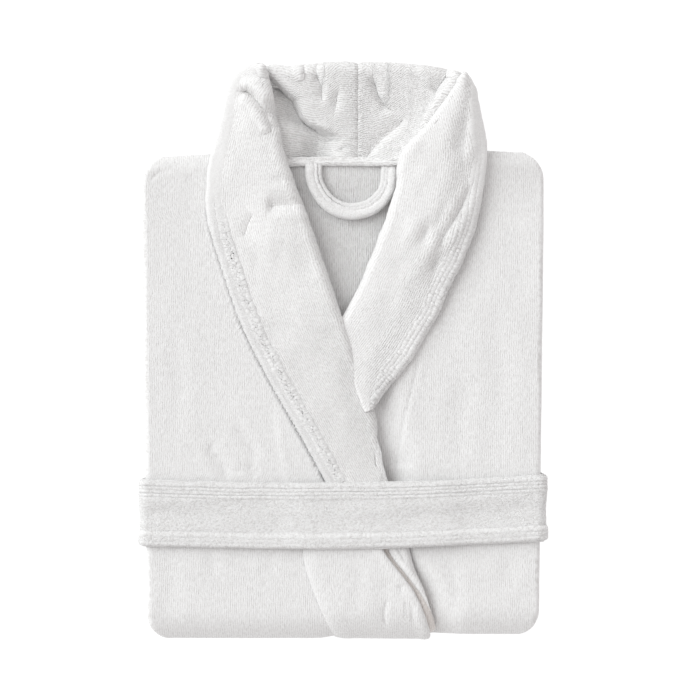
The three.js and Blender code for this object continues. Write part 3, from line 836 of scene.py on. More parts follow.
def lapel_surface(side, edge, unit, across, width, to_end, lift=0.0):
    """Places on a lapel at some distances in from its free edge, with the marks in its cloth."""
    x = edge[:, None, 0] + unit[:, None, 0] * across
    y = edge[:, None, 1] + unit[:, None, 1] * across
    z = lapel_height(side, y, across, width[:, None], to_end[:, None]) + lift
    relief = (right_lapel_relief if side < 0 else left_lapel_relief)(x, y)
    small = np.clip(width / 30, 0, 1)[:, None]
    return x, y, z + relief * small * smooth(across / 12)


def lapel_cloth(side):
    """One lapel: flat cloth from under its stitched band to the roll, which curls down into the neck."""
    right = side < 0
    edge, _, width, unit, to_end, place = lapel_parts(side)
    band = band_width(width)
    radius = ROLL * (1.0 if right else 0.74) * np.clip(width / 34, 0.1, 1)
    first = band * 0.45
    last = width - radius
    share = np.linspace(0, 1, 78)
    along = first[:, None] + (last - first)[:, None] * share
    x, y, z = lapel_surface(side, edge, unit, along, width, to_end)
    angle = np.linspace(0, 1, 21)[1:] * math.radians(CURL_TURN)
    out = radius[:, None] * np.sin(angle)
    curl_x = x[:, -1:] + unit[:, :1] * out
    curl_y = y[:, -1:] + unit[:, 1:] * out
    curl_z = z[:, -1:] - 1.15 * radius[:, None] * (1 - np.cos(angle))
    least = CURL_FLOOR + (6.2 * smooth((-40 - curl_y) / 60) if right else 0.0)
    curl_z = np.maximum(curl_z, least)
    x, y, z = (np.concatenate(pair, 1) for pair in ((x, curl_x), (y, curl_y), (z, curl_z)))
    across = np.concatenate([along, last[:, None] + radius[:, None] * angle * 1.1], 1)
    thickness = thinned((across - first[:, None], 3.0, LAPEL_CLOTH, 0.8),
                        (across[:, -1:] - across, 2.6, LAPEL_CLOTH, 0.7),
                        (to_end[:, None], 5.0, LAPEL_CLOTH, 0.8))
    if right:
        nap = 1.05 + 0.25 * smooth((across - 0.55 * width[:, None]) / 20) + 0.3 * smooth((70 - y) / 60)
    else:
        nap = 1.6 - 0.6 * smooth((across / width[:, None] - 0.35) / 0.3)
    grain = (across, place[:, None] + 0 * across)
    obj = sheet_mesh(sided(side, "lapel_cloth"), (x, y, z), thickness, LAPEL, grain,
                     seed=73 if right else 74, nap=nap)
    return obj


def band_stitches(right, x, y, z, d, wander, strength):
    """Rows of stitching on a band, d in from the free edge; the right one is rough between two rows."""
    pile = Noise(83)
    if right:
        rough = smooth((d - 7.5) / 1.5) * smooth((16.0 - d) / 1.2)
        tufts = 0.36 * pile(x, y, 1.2, 1.2) + 0.15 * pile(x, y + 90, 3.0, 2.2)
        z = z + strength * rough * (0.35 + tufts)
        z = z - strength * 0.55 * hump(d - 7.0 - wander, 0.8)
        z = z + strength * 0.5 * hump(d - 15.0 - wander, 1.0)
        return z - strength * hump(d - 16.8, 0.8)
    for line, height in ((4.4, 0.9), (7.9, 0.8), (11.6, 0.5)):
        z = z + strength * height * hump(d - line - wander, 1.1)
    for line, depth in ((6.1, 0.9), (9.8, 0.7), (13.6, 0.6)):
        z = z - strength * depth * hump(d - line - wander, 0.8)
    return z + strength * 0.3 * pile(x, y, 1.4, 1.8)


def lapel_band(side):
    """The stitched terry band along a lapel's free edge."""
    right = side < 0
    edge, _, width, unit, to_end, place = lapel_parts(side)
    band = band_width(width)
    share = spread(0, 1, 1 / 30, ends=(False, False))
    share = np.unique(np.concatenate([share, [0.006, 0.016, 0.05, 0.085]]))
    d = band[:, None] * share
    x, y, z = lapel_surface(side, edge, unit, d, width, to_end, lift=0.12)
    wander = 0.5 * Noise(81 if right else 82)(place, 0, 15)[:, None]
    strength = smooth((150 - y) / 60) if right else smooth((168 - y) / 70) * 0.9 + 0.1
    z = band_stitches(right, x, y, z, d, wander, strength)
    full = LAPEL_CLOTH + 0.3
    z = z - 0.9 * (1 - strength) * smooth((d - 0.55 * band[:, None]) / (0.45 * band[:, None]))
    thickness = thinned((d, 3.0, full, 0.5),
                        (band[:, None] - d, 1.0, full, 2.6 * strength + full * (1 - strength)),
                        (to_end[:, None], 5.0, full, 0.6))
    z = z - (full - thickness) * 0.32 * (d < 4)
    grain = (d, place[:, None] + 0 * d)
    obj = sheet_mesh(sided(side, "lapel_band"), (x, y, z), thickness, BINDING, grain,
                     seed=85 if right else 86, nap=0.5 + 0.7 * strength)
    return obj


def fit_lapel(side):
    """The lapel's cloth and its stitched band, in place of the lapel's roll, lapel and binding nodes."""
    prefix = "right" if side < 0 else "left"
    cloth, band = lapel_cloth(side), lapel_band(side)
    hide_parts(prefix + "_lapel_roll", prefix + "_lapel")
    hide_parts(prefix + "_lapel_binding")
    for piece in (cloth, band):
        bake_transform(piece)


fit_lapel(-1)
fit_lapel(1)


# ---------------------------------------------------------------- collar, neck and loop

SEAM_X = 13.0
COLLAR_CLOTH = 6.0
COLLAR_ROLL = 5.6
NECK_Y = tape_low[1]


COLLAR_EDGE = ([-100, -90, -80, -62, -46, -38, -20, 0, 13, 28, 50, 70, 86, 97, 108],
               [240, 247, 252, 253.9, 252, 253.4, 255, 256.3, 255.2, 255.6, 255, 253, 250.8, 248, 244])


def collar_top(x):
    """The upper edge of the collar, with a tuck at -X and a notch at the centre-back seam."""
    return np.interp(x, *COLLAR_EDGE) - 1.8 * hump(x - SEAM_X, 1.8)


COLLAR_MARKS = [
    # gathers that run down from the top edge, beside the centre-back seam
    (tuck, [(-19, 218), (-17, 226), (-17.4, 234), (-20, 240), (-25, 249)], 5.6, 6.0, 1.3, 0.3),
    (tuck, [(-8.0, 209), (-5.4, 218), (-4.8, 226), (-4.0, 234)], 2.8, 5.5, 3.0, 0.35),
    (tuck, [(44, 210), (37.6, 219), (32.6, 227), (30.5, 234.5), (25, 246)], 8.0, 6.0, 1.5, 0.3),
    (crease, [(41, 214), (37.6, 219), (32.6, 227), (30.5, 234.5), (25, 246)], 0.9, 1.2, 0.2),
    # folds that fan up from the neck seam
    (tuck, [(19, 171), (25.6, 176), (31, 181.6), (36, 187), (43.5, 193), (50.8, 200), (54, 210)],
     3.8, 8.0, 2.6, 0.2),
    (crease, [(21, 172), (25.6, 176), (31, 181.6), (36, 187), (43.2, 193), (50.8, 200)], 1.3, 1.2, 0.2),
    (bump_spot, 0.5, 179.5, 3.0, 5.5, -2.0, -0.9),
    # the tuck in the top edge at -X
    (pucker, [(-34, 239), (-35.7, 243.3), (-39.6, 248.6), (-45, 251), (-50, 252.5)], 3.0, 1.2, 7.0, 0.2),
    (bump_spot, -29, 184, 12, 14, -2.4),
    (bump_spot, 1, 220, 8, 18, 0.8),
    (bump_spot, -10, 240, 7, 12, 0.8),
    # the fold that leans over beside the left lapel, and the hollow above it
    (ridge, [(105, 245), (97, 236), (89, 226.5), (81, 214), (74, 200)], 3.4, 4.6, 0.15),
    (tuck, [(80, 224), (86, 233), (91, 240), (97, 248)], 4.4, 8.0, 3.0, 0.2),
    (crease, [(75, 192), (77, 199), (86, 215.6), (93, 224), (99, 229)], 2.4, 2.4, 0.15),
    (crease, [(62, 250), (67, 238), (66, 226)], 0.7, 4.0, 0.35),
]


def collar_relief(x, y):
    """The collar's gathers and folds, and the small ripples beside its seam."""
    z = with_marks(waves(x, y, 91, (0.5, 0, 24, 28), (0.3, 60, 11, 13)), x, y, COLLAR_MARKS)
    ripples = Noise(92)
    beside = np.abs(x - SEAM_X)
    shift = np.where(x < SEAM_X, 0, 77)
    return z + 0.6 * ripples(y + shift, 0, 5.0) * np.exp(-beside / 6.0)


# where the collar's inner face goes under each lapel's roll, as x for a given y
ROLL_LEFT_OF_NECK = ([160, 181, 197, 210, 222, 231, 238, 244, 252],
                     [-50, -55.5, -59.5, -62, -63.5, -65, -67, -68.5, -71])
ROLL_RIGHT_OF_NECK = ([160, 169, 179.5, 189.5, 200, 212, 223.5, 233, 240],
                      [50, 52, 58.5, 68, 78, 87, 95, 101, 104])


def beside_lapel(x, y):
    """How far the collar has risen towards the wearer's left lapel, and how deep it dives under it."""
    past = x - np.interp(y, *ROLL_RIGHT_OF_NECK)
    rise = smooth((y - 168) / 84)
    joined = 1 - smooth((y - 186) / 14)  # near the neck the collar runs on into the lapel
    past = past - 6.4 * joined
    up = (12.0 - 6.0 * rise + 2.6 * joined) * np.exp(np.minimum(past, 0) / 17.0) * smooth((x - 12) / 22)
    return up, (15.0 - 4.0 * rise) * smooth((past + 4.5 - 1.5 * joined) / 8)


# the crest beside the hollow at the wearer's right, as x for a given y
HOLLOW_EDGE = ([166, 174, 187, 193, 198, 203, 209, 216, 223, 232, 240, 247],
               [-22, -20, -17, -18.5, -24, -32, -37.5, -40.5, -43.5, -53, -62, -70])


def collar_height(x, y):
    """Middle of the collar's cloth: up from the neck seam, hollow at -X, rising to the lapel at +X."""
    rise = smooth((y - 168) / 84)
    up, dive = beside_lapel(x, y)
    z = 45.2 + 8.0 * rise + up - dive
    inside = np.interp(y, *HOLLOW_EDGE) - x
    z = z - (3.0 + 3.5 * rise) * smooth((inside + 12) / 20)
    steep = 3.0 + 8.0 * smooth((204 - y) / 16)
    deep = 5.0 + 10.0 * smooth((250 - y) / 14)
    z = z - deep * np.exp(-((np.maximum(inside, 0) / 19) ** 2) - (np.minimum(inside, 0) / steep) ** 2)
    past_left = np.interp(y, *ROLL_LEFT_OF_NECK) - x
    return z - 4.0 * smooth((past_left + 1) / 10) * (1 - rise)


def collar_path(columns):
    """The collar's cloth, up its inner face, over the top edge and down behind: x, y and z."""
    face = spread(NECK_Y + 4.5, 246.5, 1.1, ends=(False, False))
    share = (face - face[0]) / (face[-1] - face[0])
    top = collar_top(columns)
    flat_y = face[0] + (top[None, :] - COLLAR_ROLL - COLLAR_CLOTH / 2 - face[0]) * share[:, None]
    x = np.repeat(columns[None, :], len(face), 0)
    z = collar_height(x, flat_y) + collar_relief(x, flat_y)
    angle = np.linspace(0, math.radians(176), 20)[1:, None]
    curl_y = flat_y[-1:] + COLLAR_ROLL * np.sin(angle)
    curl_z = z[-1:] - 1.15 * COLLAR_ROLL * (1 - np.cos(angle))
    tail = np.linspace(0, 12, 7)[1:, None]
    y = np.concatenate([flat_y, curl_y, curl_y[-1:] - tail])
    z = np.concatenate([z, curl_z, curl_z[-1:] - 0.05 * tail])
    return np.repeat(columns[None, :], len(y), 0), y, z


def collar_half(side):
    """One half of the collar, from the centre-back seam to the lapel's roll."""
    right = side < 0
    low, high = (-98.0, SEAM_X) if right else (SEAM_X, 108.0)
    x, y, z = collar_path(spread(low, high, 1.15))
    seam = np.abs(x - SEAM_X)
    z = z - 1.5 * hump(seam, 1.7)
    nap = 1.0 + 0.8 * np.exp(-seam / 7.0)
    outer = np.abs(x - (low if right else high))
    to_tail = np.arange(len(y))[::-1][:, None] * 1.4
    thickness = thinned((seam, 2.0, COLLAR_CLOTH, 1.2),
                        (outer, 4.0, COLLAR_CLOTH, 0.8),
                        (to_tail, 3.0, COLLAR_CLOTH, 0.8))
    steps = np.hypot(np.diff(y, axis=0), np.diff(z, axis=0))
    along = np.concatenate([0 * steps[:1], np.cumsum(steps, 0)])
    turn = 0.15 if right else -0.4
    grain = (along + turn * x, x - turn * along)
    obj = sheet_mesh(sided(side, "collar_cloth"), (x, y, z), thickness, COLLAR, grain,
                     seed=93 if right else 94, nap=nap)
    belongs(obj, "velour", sided(side, "collar_half"))


def grid_sheet(name, x, y, middle, full, material, seed, rim=2.6, grain=None, fuzz=0.12, least=0.5):
    """A closed sheet over a grid of places, thin at its rim."""
    grid = (x, y, middle)
    u, v = walked(grid, 1), walked(grid, 0)
    inside = np.minimum(np.minimum(u, u[:, -1:] - u), np.minimum(v, v[-1:] - v))
    thickness = edge_round(inside, rim, full, least)
    return sheet_mesh(name, grid, thickness, material, grain or (x, y), fuzz=fuzz, seed=seed)


def neck_tape():
    """The rolled seam where the collar joins the back."""
    columns = np.linspace(tape_low[0], tape_high[0] - 1, 112)
    share = np.linspace(0, 1, 15)
    low, high = NECK_Y + 0.4, NECK_Y + 8.2
    wave = Noise(101)
    x = np.repeat(columns[None, :], len(share), 0)
    y = low + (high - low) * share[:, None] + 0.55 * wave(x, 0, 15) + 0.3 * wave(x + 60, 0, 6)
    z = 46.3 + 1.5 * np.sin(math.pi * share[:, None]) + 0.5 * wave(x, 9, 11)
    z = z - 1.1 * hump(share[:, None] - 0.60, 0.10) + 0.6 * wave(x, y, 3.2, 2.4)
    z = z - 1.6 * smooth((-20 - x) / 25) + 0.8 * beside_lapel(x, y)[0]
    obj = grid_sheet("neck_roll", x, y, z, 4.4, COLLAR, 102, rim=2.4, grain=(y * 1.6, x), fuzz=0.15)
    belongs(obj, "velour", "neck_tape")


LOOP_LINE = [(-26, 168), (-25.5, 153), (-21, 141.5), (-12.5, 131), (0, 124.6), (14, 124.2),
             (27, 129), (36.8, 139.5), (40.6, 152), (41, 168)]
LOOP_HALF = 7.5
LOOP_LEVEL = 48.2
LOOP_CLOTH = 6.4


def hanger_loop():
    """The hanging loop: a narrow sewn tube of terry with two rounded edges and a groove between."""
    path, run = rounded_path(LOOP_LINE, 190)
    direction = np.gradient(path, axis=0)
    direction /= np.linalg.norm(direction, axis=1, keepdims=True)
    across = np.stack([-direction[:, 1], direction[:, 0]], 1)
    wave = Noise(111)
    half = LOOP_HALF + 0.35 * wave(run, 0, 13)
    share = np.concatenate([[-1, -0.985, -0.95, -0.89], np.linspace(-0.82, 0.82, 19), [0.89, 0.95, 0.985, 1]])
    offset = half[:, None] * share
    x = path[:, None, 0] + across[:, None, 0] * offset
    y = path[:, None, 1] + across[:, None, 1] * offset
    z = LOOP_LEVEL + 0.5 * wave(run, 3, 30)[:, None]
    z = z - 1.7 * hump(offset - 0.4, 1.5) - 0.6 * hump(offset - 3.9, 0.9)
    z = z + 0.25 * wave(x, y, 3.0) + 0.6 * hump(offset + 3.6, 2.4)
    z = z - 1.2 * smooth((y - 160) / 6)
    thickness = np.maximum(LOOP_CLOTH * np.sqrt(np.maximum(1 - np.abs(share[None, :]) ** 2.6, 0)), 0.5)
    thickness = np.repeat(thickness, len(path), 0)
    grain = (offset, np.repeat(run[:, None], len(share), 1))
    obj = sheet_mesh("hanger_loop_cloth", (x, y, z), thickness, BINDING, grain,
                     fuzz=0.2, seed=112)
    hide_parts("hanger_loop")
    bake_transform(obj)


def under_collar():
    """The collar's outer fall, folded behind: it carries the visible collar."""
    columns = np.linspace(-104, 115, 92)
    rows = spread(180, 247.5, 2.4)
    x = np.repeat(columns[None, :], len(rows), 0)
    corner = np.clip((rows - 229) / 18.5, 0, 1)
    squeeze = 1 - 0.13 * (1 - np.sqrt(1 - 0.96 * corner**2))[:, None]
    x = 5.5 + (x - 5.5) * squeeze
    y = np.repeat(rows[:, None], len(columns), 1)
    soft = Noise(121)
    z = 31.6 + 7.2 * smooth((y - 178) / 74) + 0.8 * soft(x, y, 24, 20)
    sunk = 4.5 + 8.5 * smooth((249 - y) / 14)
    z = z - sunk * smooth((-2 - x) / 16) * smooth((x + 82) / 12)
    obj = grid_sheet("under_collar_cloth", x, y, z, 6.4, VELOUR, 122, grain=(y, x))
    belongs(obj, "velour", "under_collar")


collar_half(-1)
collar_half(1)
neck_tape()
hanger_loop()
under_collar()


# ---------------------------------------------------------------- facings below the belt

GAP = 6.2  # the strip underneath starts to show this far beyond the upper facing

# puckers in the right facing below the belt
FACING_MARKS = [
    (bump_spot, 37, -209.5, 6, 6, -0.9),
    (tuck, [(40, -244), (36, -234), (36, -226), (39, -217)], 1.2, 6.0, 5.0, 0.3),
    (crease, [(40, -216), (37, -226), (36, -234), (39, -243)], 0.8, 1.6, 0.3),
    (bump_spot, 51, -208, 2.6, 3.2, -1.4),
    (crease, [(61, -221), (61.5, -230), (60.5, -239)], 0.8, 2.4, 0.3),
    (crease, [(55, -218), (55, -227), (54, -236)], 0.7, 1.2, 0.3),
    (crease, [(10, -180), (14, -206), (8, -236)], 0.5, 6, 0.3),
]


def facing_span(right, at_y):
    """Where a facing starts and ends across the robe, down the cloth."""
    lap = front_edge(np.clip(at_y, FOLD_Y, 200))
    if right:
        return facing_edge(np.clip(at_y, FOLD_Y, -119)), lap
    return lap - 6, under_edge(np.clip(at_y, FOLD_Y + 3, -119))


def right_facing_shape(x, y, relief, first, last):
    """The upper facing: puckers, and a rolled edge. Gives its relief and thickness; it takes no painted gap
    shade.
    """
    full = 4.4
    thickness = thinned((x - first, 14.0, full, 0.5), (last - x, 2.4, full, 0.5))
    relief = with_marks(relief, x, y, FACING_MARKS) + 0.9 * hump(last - x - 5.5, 4.0)
    return relief - (full - thickness) * 0.46 * (x - first < 15), thickness, np.zeros_like(x)


def left_facing_shape(x, y, relief, first, last, wave):
    """The strip underneath: sunk, scalloped, and tinted with a brownish painted shade where the gap beside
    the upper facing shows it.
    """
    full = 4.6
    thickness = thinned((x - first, 3.0, full, 0.5), (last - x, 6.5, full, 0.5))
    relief = relief + (0.8 * hump(last - x - 5, 3) - (full - thickness) * 0.4)
    gap = front_edge(np.clip(y, FOLD_Y, 200)) + GAP - x
    # the gap's mask: it sinks the strip and sets where the brownish painted shade goes
    painted_gap_shade = smooth((gap + 1.0) / 2.4)
    relief = relief - 4.6 * painted_gap_shade + 1.2 * hump(gap + 3.0 + 0.8 * wave(y, 0, 5.0), 1.6)
    return relief, thickness, painted_gap_shade


def facing(side):
    """The facing of a front edge: it runs under the belt and over the bottom fold."""
    right = side < 0
    height = (FRONT_Z + 2.2 if right else FRONT_Z + 0.6) - MIDDLE_Z
    upper = [(y, 0.0, 0.0) for y in spread(-120.5, FOLD_CENTRE_Y, 1.4, ends=(False, False))]
    bend = [(FOLD_CENTRE_Y, a, 0.5) for a in np.linspace(0, math.radians(112), 24)[1:]]
    rows = np.array(upper + bend)
    at_y = rows[:, 0] - height * np.sin(rows[:, 1])
    share = spread(0, 1, 1 / 72, ends=(False, False))
    first, last = facing_span(right, at_y)
    wave = Noise(131 if right else 132)
    last = last + 0.7 * wave(at_y, 0, 17) + 0.3 * wave(at_y + 40, 0, 6)
    first, last = first[:, None], last[:, None]
    x = first + (last - first) * share
    y, z = fold_path(rows, np.full_like(x, height))
    relief = waves(x, y, 133 if right else 134, (0.35, 0, 20, 24))
    if right:
        relief, thickness, painted_gap_shade = right_facing_shape(x, y, relief, first, last)
    else:
        relief, thickness, painted_gap_shade = left_facing_shape(x, y, relief, first, last, wave)
    pressed = smooth((-165 - y) / 14)
    shift = relief * (0.25 + 0.75 * pressed)
    lean_y, lean_z = np.sin(rows[:, None, 1]), np.cos(rows[:, None, 1])
    grid = (x, y - shift * lean_y, z + shift * lean_z)
    to_end = np.arange(len(rows))[::-1][:, None] * 1.8
    thickness = np.minimum(thickness, edge_round(to_end, 4, 6, 0.5))
    grain = (x, y - 1.3 * (60 - z))
    obj = sheet_mesh(sided(side, "facing_cloth"), grid, thickness, VELOUR, grain, seed=135 if right else 136)
    # the gap's mask, which the material turns into a brownish painted shade
    point_values(obj.data, "painted_gap_shade", np.tile(painted_gap_shade.ravel(), 2))
    belongs(obj, "velour", sided(side, "front_facing"))


facing(-1)
facing(1)


# ---------------------------------------------------------------- belt

BELT_WIDTH = 57.0
BELT_CLOTH = 2.0
BELT_HALF = belt_high[0]
BELT_TOP = belt_high[2]
BELT_FOOT = 11.0  # radius of its turns at the table
BELT_HEAD = 9.0  # and at the top


def ring_point(distance, inset):
    """A place on the belt's round-cornered ring, walked from the middle of the underside: x, z, normal."""
    foot, head = BELT_FOOT, BELT_HEAD
    half, top = BELT_HALF, BELT_TOP
    pieces = [
        ("line", (0, 0), (half - foot, 0)),
        ("arc", (half - foot, foot), foot, -90),
        ("line", (half, foot), (half, top - head)),
        ("arc", (half - head, top - head), head, 0),
        ("line", (half - head, top), (-half + head, top)),
        ("arc", (-half + head, top - head), head, 90),
        ("line", (-half, top - head), (-half, foot)),
        ("arc", (-half + foot, foot), foot, 180),
        ("line", (-half + foot, 0), (0, 0)),
    ]
    lengths = [math.dist(p[1], p[2]) if p[0] == "line" else p[2] * math.pi / 2 for p in pieces]
    whole = sum(lengths)
    distance = distance % whole
    for piece, length in zip(pieces, lengths):
        if distance <= length:
            break
        distance -= length
    if piece[0] == "line":
        (ax, az), (bx, bz) = piece[1], piece[2]
        dx, dz = (bx - ax) / length, (bz - az) / length
        x, z, nx, nz = ax + dx * distance, az + dz * distance, dz, -dx
    else:
        angle = math.radians(piece[3]) + distance / piece[2]
        nx, nz = math.cos(angle), math.sin(angle)
        x, z = piece[1][0] + piece[2] * nx, piece[1][1] + piece[2] * nz
    return x - nx * inset, z - nz * inset, nx, nz


def ring_length():
    """Once round the ring."""
    foot, head = BELT_FOOT, BELT_HEAD
    straight = 4 * BELT_HALF - 4 * foot + 2 * BELT_TOP - 2 * foot - 2 * head - 2 * head
    return straight + math.pi * (foot + head) + 2 * foot


def belt_profile(w, x, run):
    """The belt across its width: three fine ridges, a flat field, and a ridged lower band."""
    wave = Noise(141)
    shift = 0.45 * wave(run, 0, 30) + 0.2 * wave(run + 90, 0, 9)
    a = w + shift
    z = 0.75 * smooth((a - 0.6) / 2.5) * smooth((13.5 - a) / 1.2)
    z = stitched(z, a, (4.4, 7.6, 10.8), 0.85, 0.62)
    z = z + 0.35 * hump(a - 12.4, 0.8)
    z = z + 1.5 * smooth((a - 44.6) / 2.6) * smooth((BELT_WIDTH - 0.6 - a) / 2.0)
    z = z - 0.55 * hump(a - 44.2, 0.8)
    z = stitched(z, a, (48.6, 52.6), 0.40, 0.7)
    z = z - 1.5 * smooth((a - 14) / 22) * smooth((45.2 - a) / 2.6)
    field = smooth((a - 13) / 3) * smooth((44 - a) / 3)
    z = z + field * (waves(x, w, 142, (0.6, 0, 44, 13), (0.35, 70, 15, 8)) - 0.15)
    return z + field * 0.5 * np.sin((w + 0.09 * x) / 31.0 * 2 * math.pi + 2.2)


def belt_places(start, stop, whole, bottom_half):
    """Places along the belt, closer together where its outer turn crosses the top."""
    places = []
    here = start
    while here < stop:
        places.append(here)
        turn = here % whole
        outer_top = here > whole and bottom_half + 40 < turn < whole - bottom_half - 40
        here += 2.0 if outer_top else 6.0
    return np.array(places + [stop])


def belt():
    """The belt, wound twice round the bundle, its ends one over the other underneath."""
    whole = ring_length()
    bottom_half = BELT_HALF - BELT_FOOT
    start, stop = 30.0, 2 * whole - 30.0
    places = belt_places(start, stop, whole, bottom_half)
    ramp = smooth((places - (whole - bottom_half * 0.9)) / (bottom_half * 1.8))
    inset = BELT_CLOTH * 1.5 + 0.12 - (BELT_CLOTH + 0.08) * ramp
    ring = np.array([ring_point(d, i) for d, i in zip(places, inset)])
    share = spread(0, 1, 1 / 62, ends=(False, False))
    w = BELT_WIDTH * share
    x = np.repeat(ring[:, None, 0], len(w), 1)
    z = np.repeat(ring[:, None, 1], len(w), 1)
    top_y = belt_upper(np.clip(ring[:, 0], -178, 178))
    run = np.repeat(places[:, None], len(w), 1)
    w_grid = w[None, :] + 0 * run
    wave = Noise(143)
    edge_wave = 0.35 * wave(places, 0, 24) + 0.2 * wave(places + 33, 0, 8)
    y = top_y[:, None] - w[None, :] + edge_wave[:, None] * np.cos(share * math.pi)[None, :]
    y = y + (0.9 * (1 - ramp))[:, None] * np.cos(share * math.pi)[None, :]
    proud = belt_profile(w_grid, x, run)
    on_top = np.clip(ring[:, None, 3], 0, 1)
    proud = proud * (ramp[:, None] * (0.55 + 0.45 * on_top) * (ring[:, None, 3] > -0.5))
    x = x + ring[:, None, 2] * proud
    z = z + ring[:, None, 3] * proud
    beside = 1 - smooth((x + 62) / 34) * smooth((118 - x) / 34)
    z = z - 3.4 * beside * smooth((z - 40) / 16)
    from_end = np.minimum(places - start, stop - places)[:, None]
    thickness = thinned((np.minimum(w_grid, BELT_WIDTH - w_grid), 1.6, BELT_CLOTH, 0.3),
                        (from_end, 5, BELT_CLOTH, 0.4))
    obj = sheet_mesh("belt_cloth", (x, y, z), thickness, BELT, (w_grid, run), seed=144)
    belongs(obj, "belt_terry", "belt", body="belt_ring")


belt()


# ---------------------------------------------------------------- what lies inside and underneath

SLEEVE_CLOTH = 7.0
CUFF_CLOTH = 7.4
PATCH_CLOTH = 2.2  # pockets and belt loops


def node_span(node):
    """The box round a CAD node, in millimetres."""
    low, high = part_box(node)
    return low / MM, high / MM


def sleeve(side):
    """A sleeve, pressed flat and folded in: across from the armhole, then down the middle."""
    name = sided(side, "sleeve")
    low, high = node_span(name)
    rows = spread(low.y, high.y - 0.5, 5.0)
    inner_x, outer_x, narrow = 1.2, max(abs(low.x), abs(high.x)) - 0.4, 65.4
    reach_x = narrow + (outer_x - narrow) * smooth((rows - 68) / 32)
    share = spread(0, 1, 1 / 30, ends=(False, False))
    x = side * (inner_x + (reach_x - inner_x)[:, None] * share)
    y = np.repeat(rows[:, None], len(share), 1)
    soft = Noise(151 if side < 0 else 152)
    z = (low.z + high.z) / 2 + 0.4 * soft(x, y, 30, 40)
    obj = grid_sheet(name + "_cloth", x, y, z, SLEEVE_CLOTH, VELOUR, 153, rim=3.0)
    belongs(obj, "velour", name)


def cuff(side):
    """A turned-back cuff with two rows of stitching near its edge."""
    name = sided(side, "cuff")
    low, high = node_span(name)
    rows = spread(low.y + 0.3, high.y - 0.3, 1.6)
    columns = spread(low.x + 0.3, high.x - 0.3, 2.2)
    x, y = np.meshgrid(columns, rows)
    soft = Noise(154 if side < 0 else 155)
    z = (low.z + high.z) / 2 + 0.3 * soft(x, y, 20, 20)
    z = stitched(z, y, (rows[0] + 7, rows[0] + 10), 0.6, 0.9)
    obj = grid_sheet(name + "_cloth", x, y, z, CUFF_CLOTH, VELOUR, 156, rim=3.4)
    belongs(obj, "velour", name)


def belt_carrier(side):
    """A narrow belt loop, sewn on at both ends with a bar of stitches."""
    name = sided(side, "belt_loop")
    low, high = node_span(name)
    rows = spread(low.y, high.y, 1.2)
    columns = np.linspace(low.x, high.x, 15)
    x, y = np.meshgrid(columns, rows)
    z = (low.z + high.z) / 2 + 0 * x
    z = stitched(z, y, (low.y + 5, high.y - 5), 0.5, 0.8)
    z = stitched(z, x, (low.x + 2, high.x - 2), 0.3, 0.5)
    obj = grid_sheet(name + "_cloth", x, y, z, PATCH_CLOTH, BINDING, 157, rim=1.0)
    belongs(obj, "binding", name)


def pocket(side):
    """A patch pocket on the skirt: hemmed at the top, stitched round, its lower corners round."""
    name = sided(side, "pocket")
    low, high = node_span(name)
    rows = spread(low.y, high.y, 1.8)
    share = spread(-1, 1, 1 / 38, ends=(True, True), fine=0.01, reach_in=0.2)
    corner = 13.0
    nearest = np.minimum(rows - low.y, high.y - rows)
    past = np.clip((corner - nearest) / corner, 0, 1)
    half = (high.x - low.x) / 2 - corner * (1 - np.sqrt(1 - past**2))
    x = (low.x + high.x) / 2 + half[:, None] * share
    y = np.repeat(rows[:, None], len(share), 1)
    z = (low.z + high.z) / 2 + 0.15 * Noise(158)(x, y, 24, 24)
    border = half[:, None] * (1 - np.abs(share))
    z = z + 0.35 * hump(border - 3.2, 0.8)
    z = stitched(z, y, (low.y + 24.0, low.y + 27.0), -0.35, 0.9)
    obj = grid_sheet(name + "_cloth", x, y, z, PATCH_CLOTH, VELOUR, 159, rim=1.4)
    belongs(obj, "velour", name)


for make in (sleeve, cuff, belt_carrier, pocket):
    make(-1)
    make(1)


# ---------------------------------------------------------------- camera, floor and light

VIEW_ANGLE = 14
VIEW_WIDTH = 0.616  # metres across the picture, at the robe's upper face
VIEW_LEVEL = 0.055
VIEW_X, VIEW_Y = 0.0062, 0.0013
KEY_ENERGY, KEY_ANGLE, KEY_AROUND, KEY_UP = 1.84, 50.0, 30.0, 38.0
KEY_COLOUR = (0.975, 1.01, 1.015)
SKY, SKY_COLOUR = 0.635, (1.02, 0.992, 0.988, 1)
FLOOR_LEVEL, FLOOR_GLOW = -0.0006, 0.88


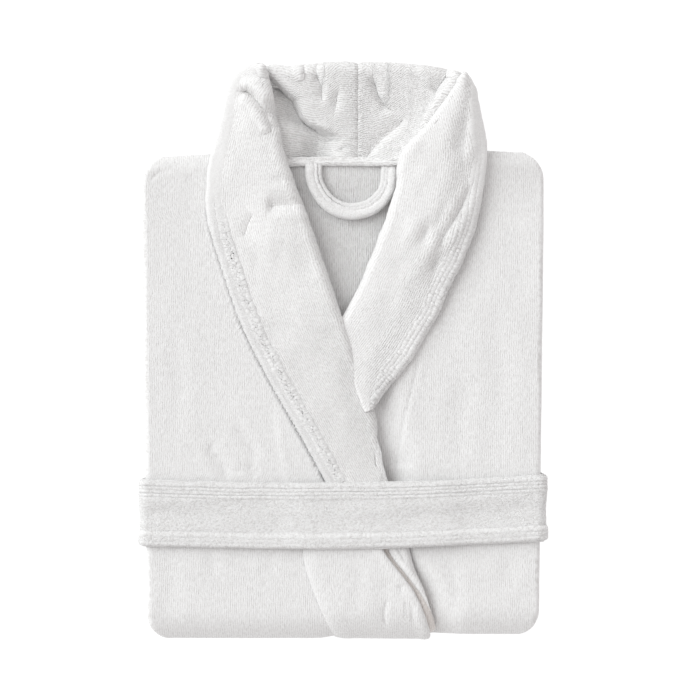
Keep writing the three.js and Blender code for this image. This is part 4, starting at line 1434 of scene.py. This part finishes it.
def aim(obj, target):
    """Turn a light to face a point."""
    obj.rotation_euler = (Vector(target) - obj.location).to_track_quat("-Z", "Y").to_euler()


def camera():
    """Straight above, framed like a catalogue picture of a folded robe."""
    data = bpy.data.cameras.new("camera")
    data.lens_unit = "FOV"
    data.angle = math.radians(VIEW_ANGLE)
    obj = bpy.data.objects.new("camera", data)
    obj.location = (VIEW_X, VIEW_Y, VIEW_LEVEL + VIEW_WIDTH / 2 / math.tan(data.angle / 2))
    bpy.context.scene.collection.objects.link(obj)
    bpy.context.scene.camera = obj


def floor():
    """A white floor, which glows a little so that it reads as a plain background."""
    mesh = bpy.data.meshes.new("floor")
    size = 4.0
    corners = [(-size, -size, 0), (size, -size, 0), (size, size, 0), (-size, size, 0)]
    mesh.from_pydata(corners, [], [(0, 1, 2, 3)])
    obj = bpy.data.objects.new("floor", mesh)
    obj.location.z = FLOOR_LEVEL
    bpy.context.scene.collection.objects.link(obj)
    material = bpy.data.materials.new("floor")
    material.use_nodes = True
    shader = material.node_tree.nodes["Principled BSDF"]
    set_inputs(shader, {"Base Color": (0.25, 0.25, 0.25, 1), "Roughness": 1.0, "Specular IOR Level": 0.0,
                        "Emission Color": (1.0, 1.0, 1.0, 1), "Emission Strength": FLOOR_GLOW})
    mesh.materials.append(material)


def studio():
    """A wide soft light from the upper left, and an even sky that opens up the shadows."""
    data = bpy.data.lights.new("key", "SUN")
    data.energy = KEY_ENERGY
    data.angle = math.radians(KEY_ANGLE)
    data.color = KEY_COLOUR
    obj = bpy.data.objects.new("key", data)
    around, up = math.radians(KEY_AROUND), math.radians(KEY_UP)
    level = 3 * math.cos(up)
    obj.location = (-level * math.cos(around), level * math.sin(around), 3 * math.sin(up))
    bpy.context.scene.collection.objects.link(obj)
    aim(obj, (0, 0, 0))
    world = bpy.data.worlds.new("world")
    bpy.context.scene.world = world
    world.use_nodes = True
    background = world.node_tree.nodes["Background"]
    set_inputs(background, {"Color": SKY_COLOUR, "Strength": SKY})
    bpy.context.scene.view_settings.view_transform = "Standard"


camera()
floor()
studio()
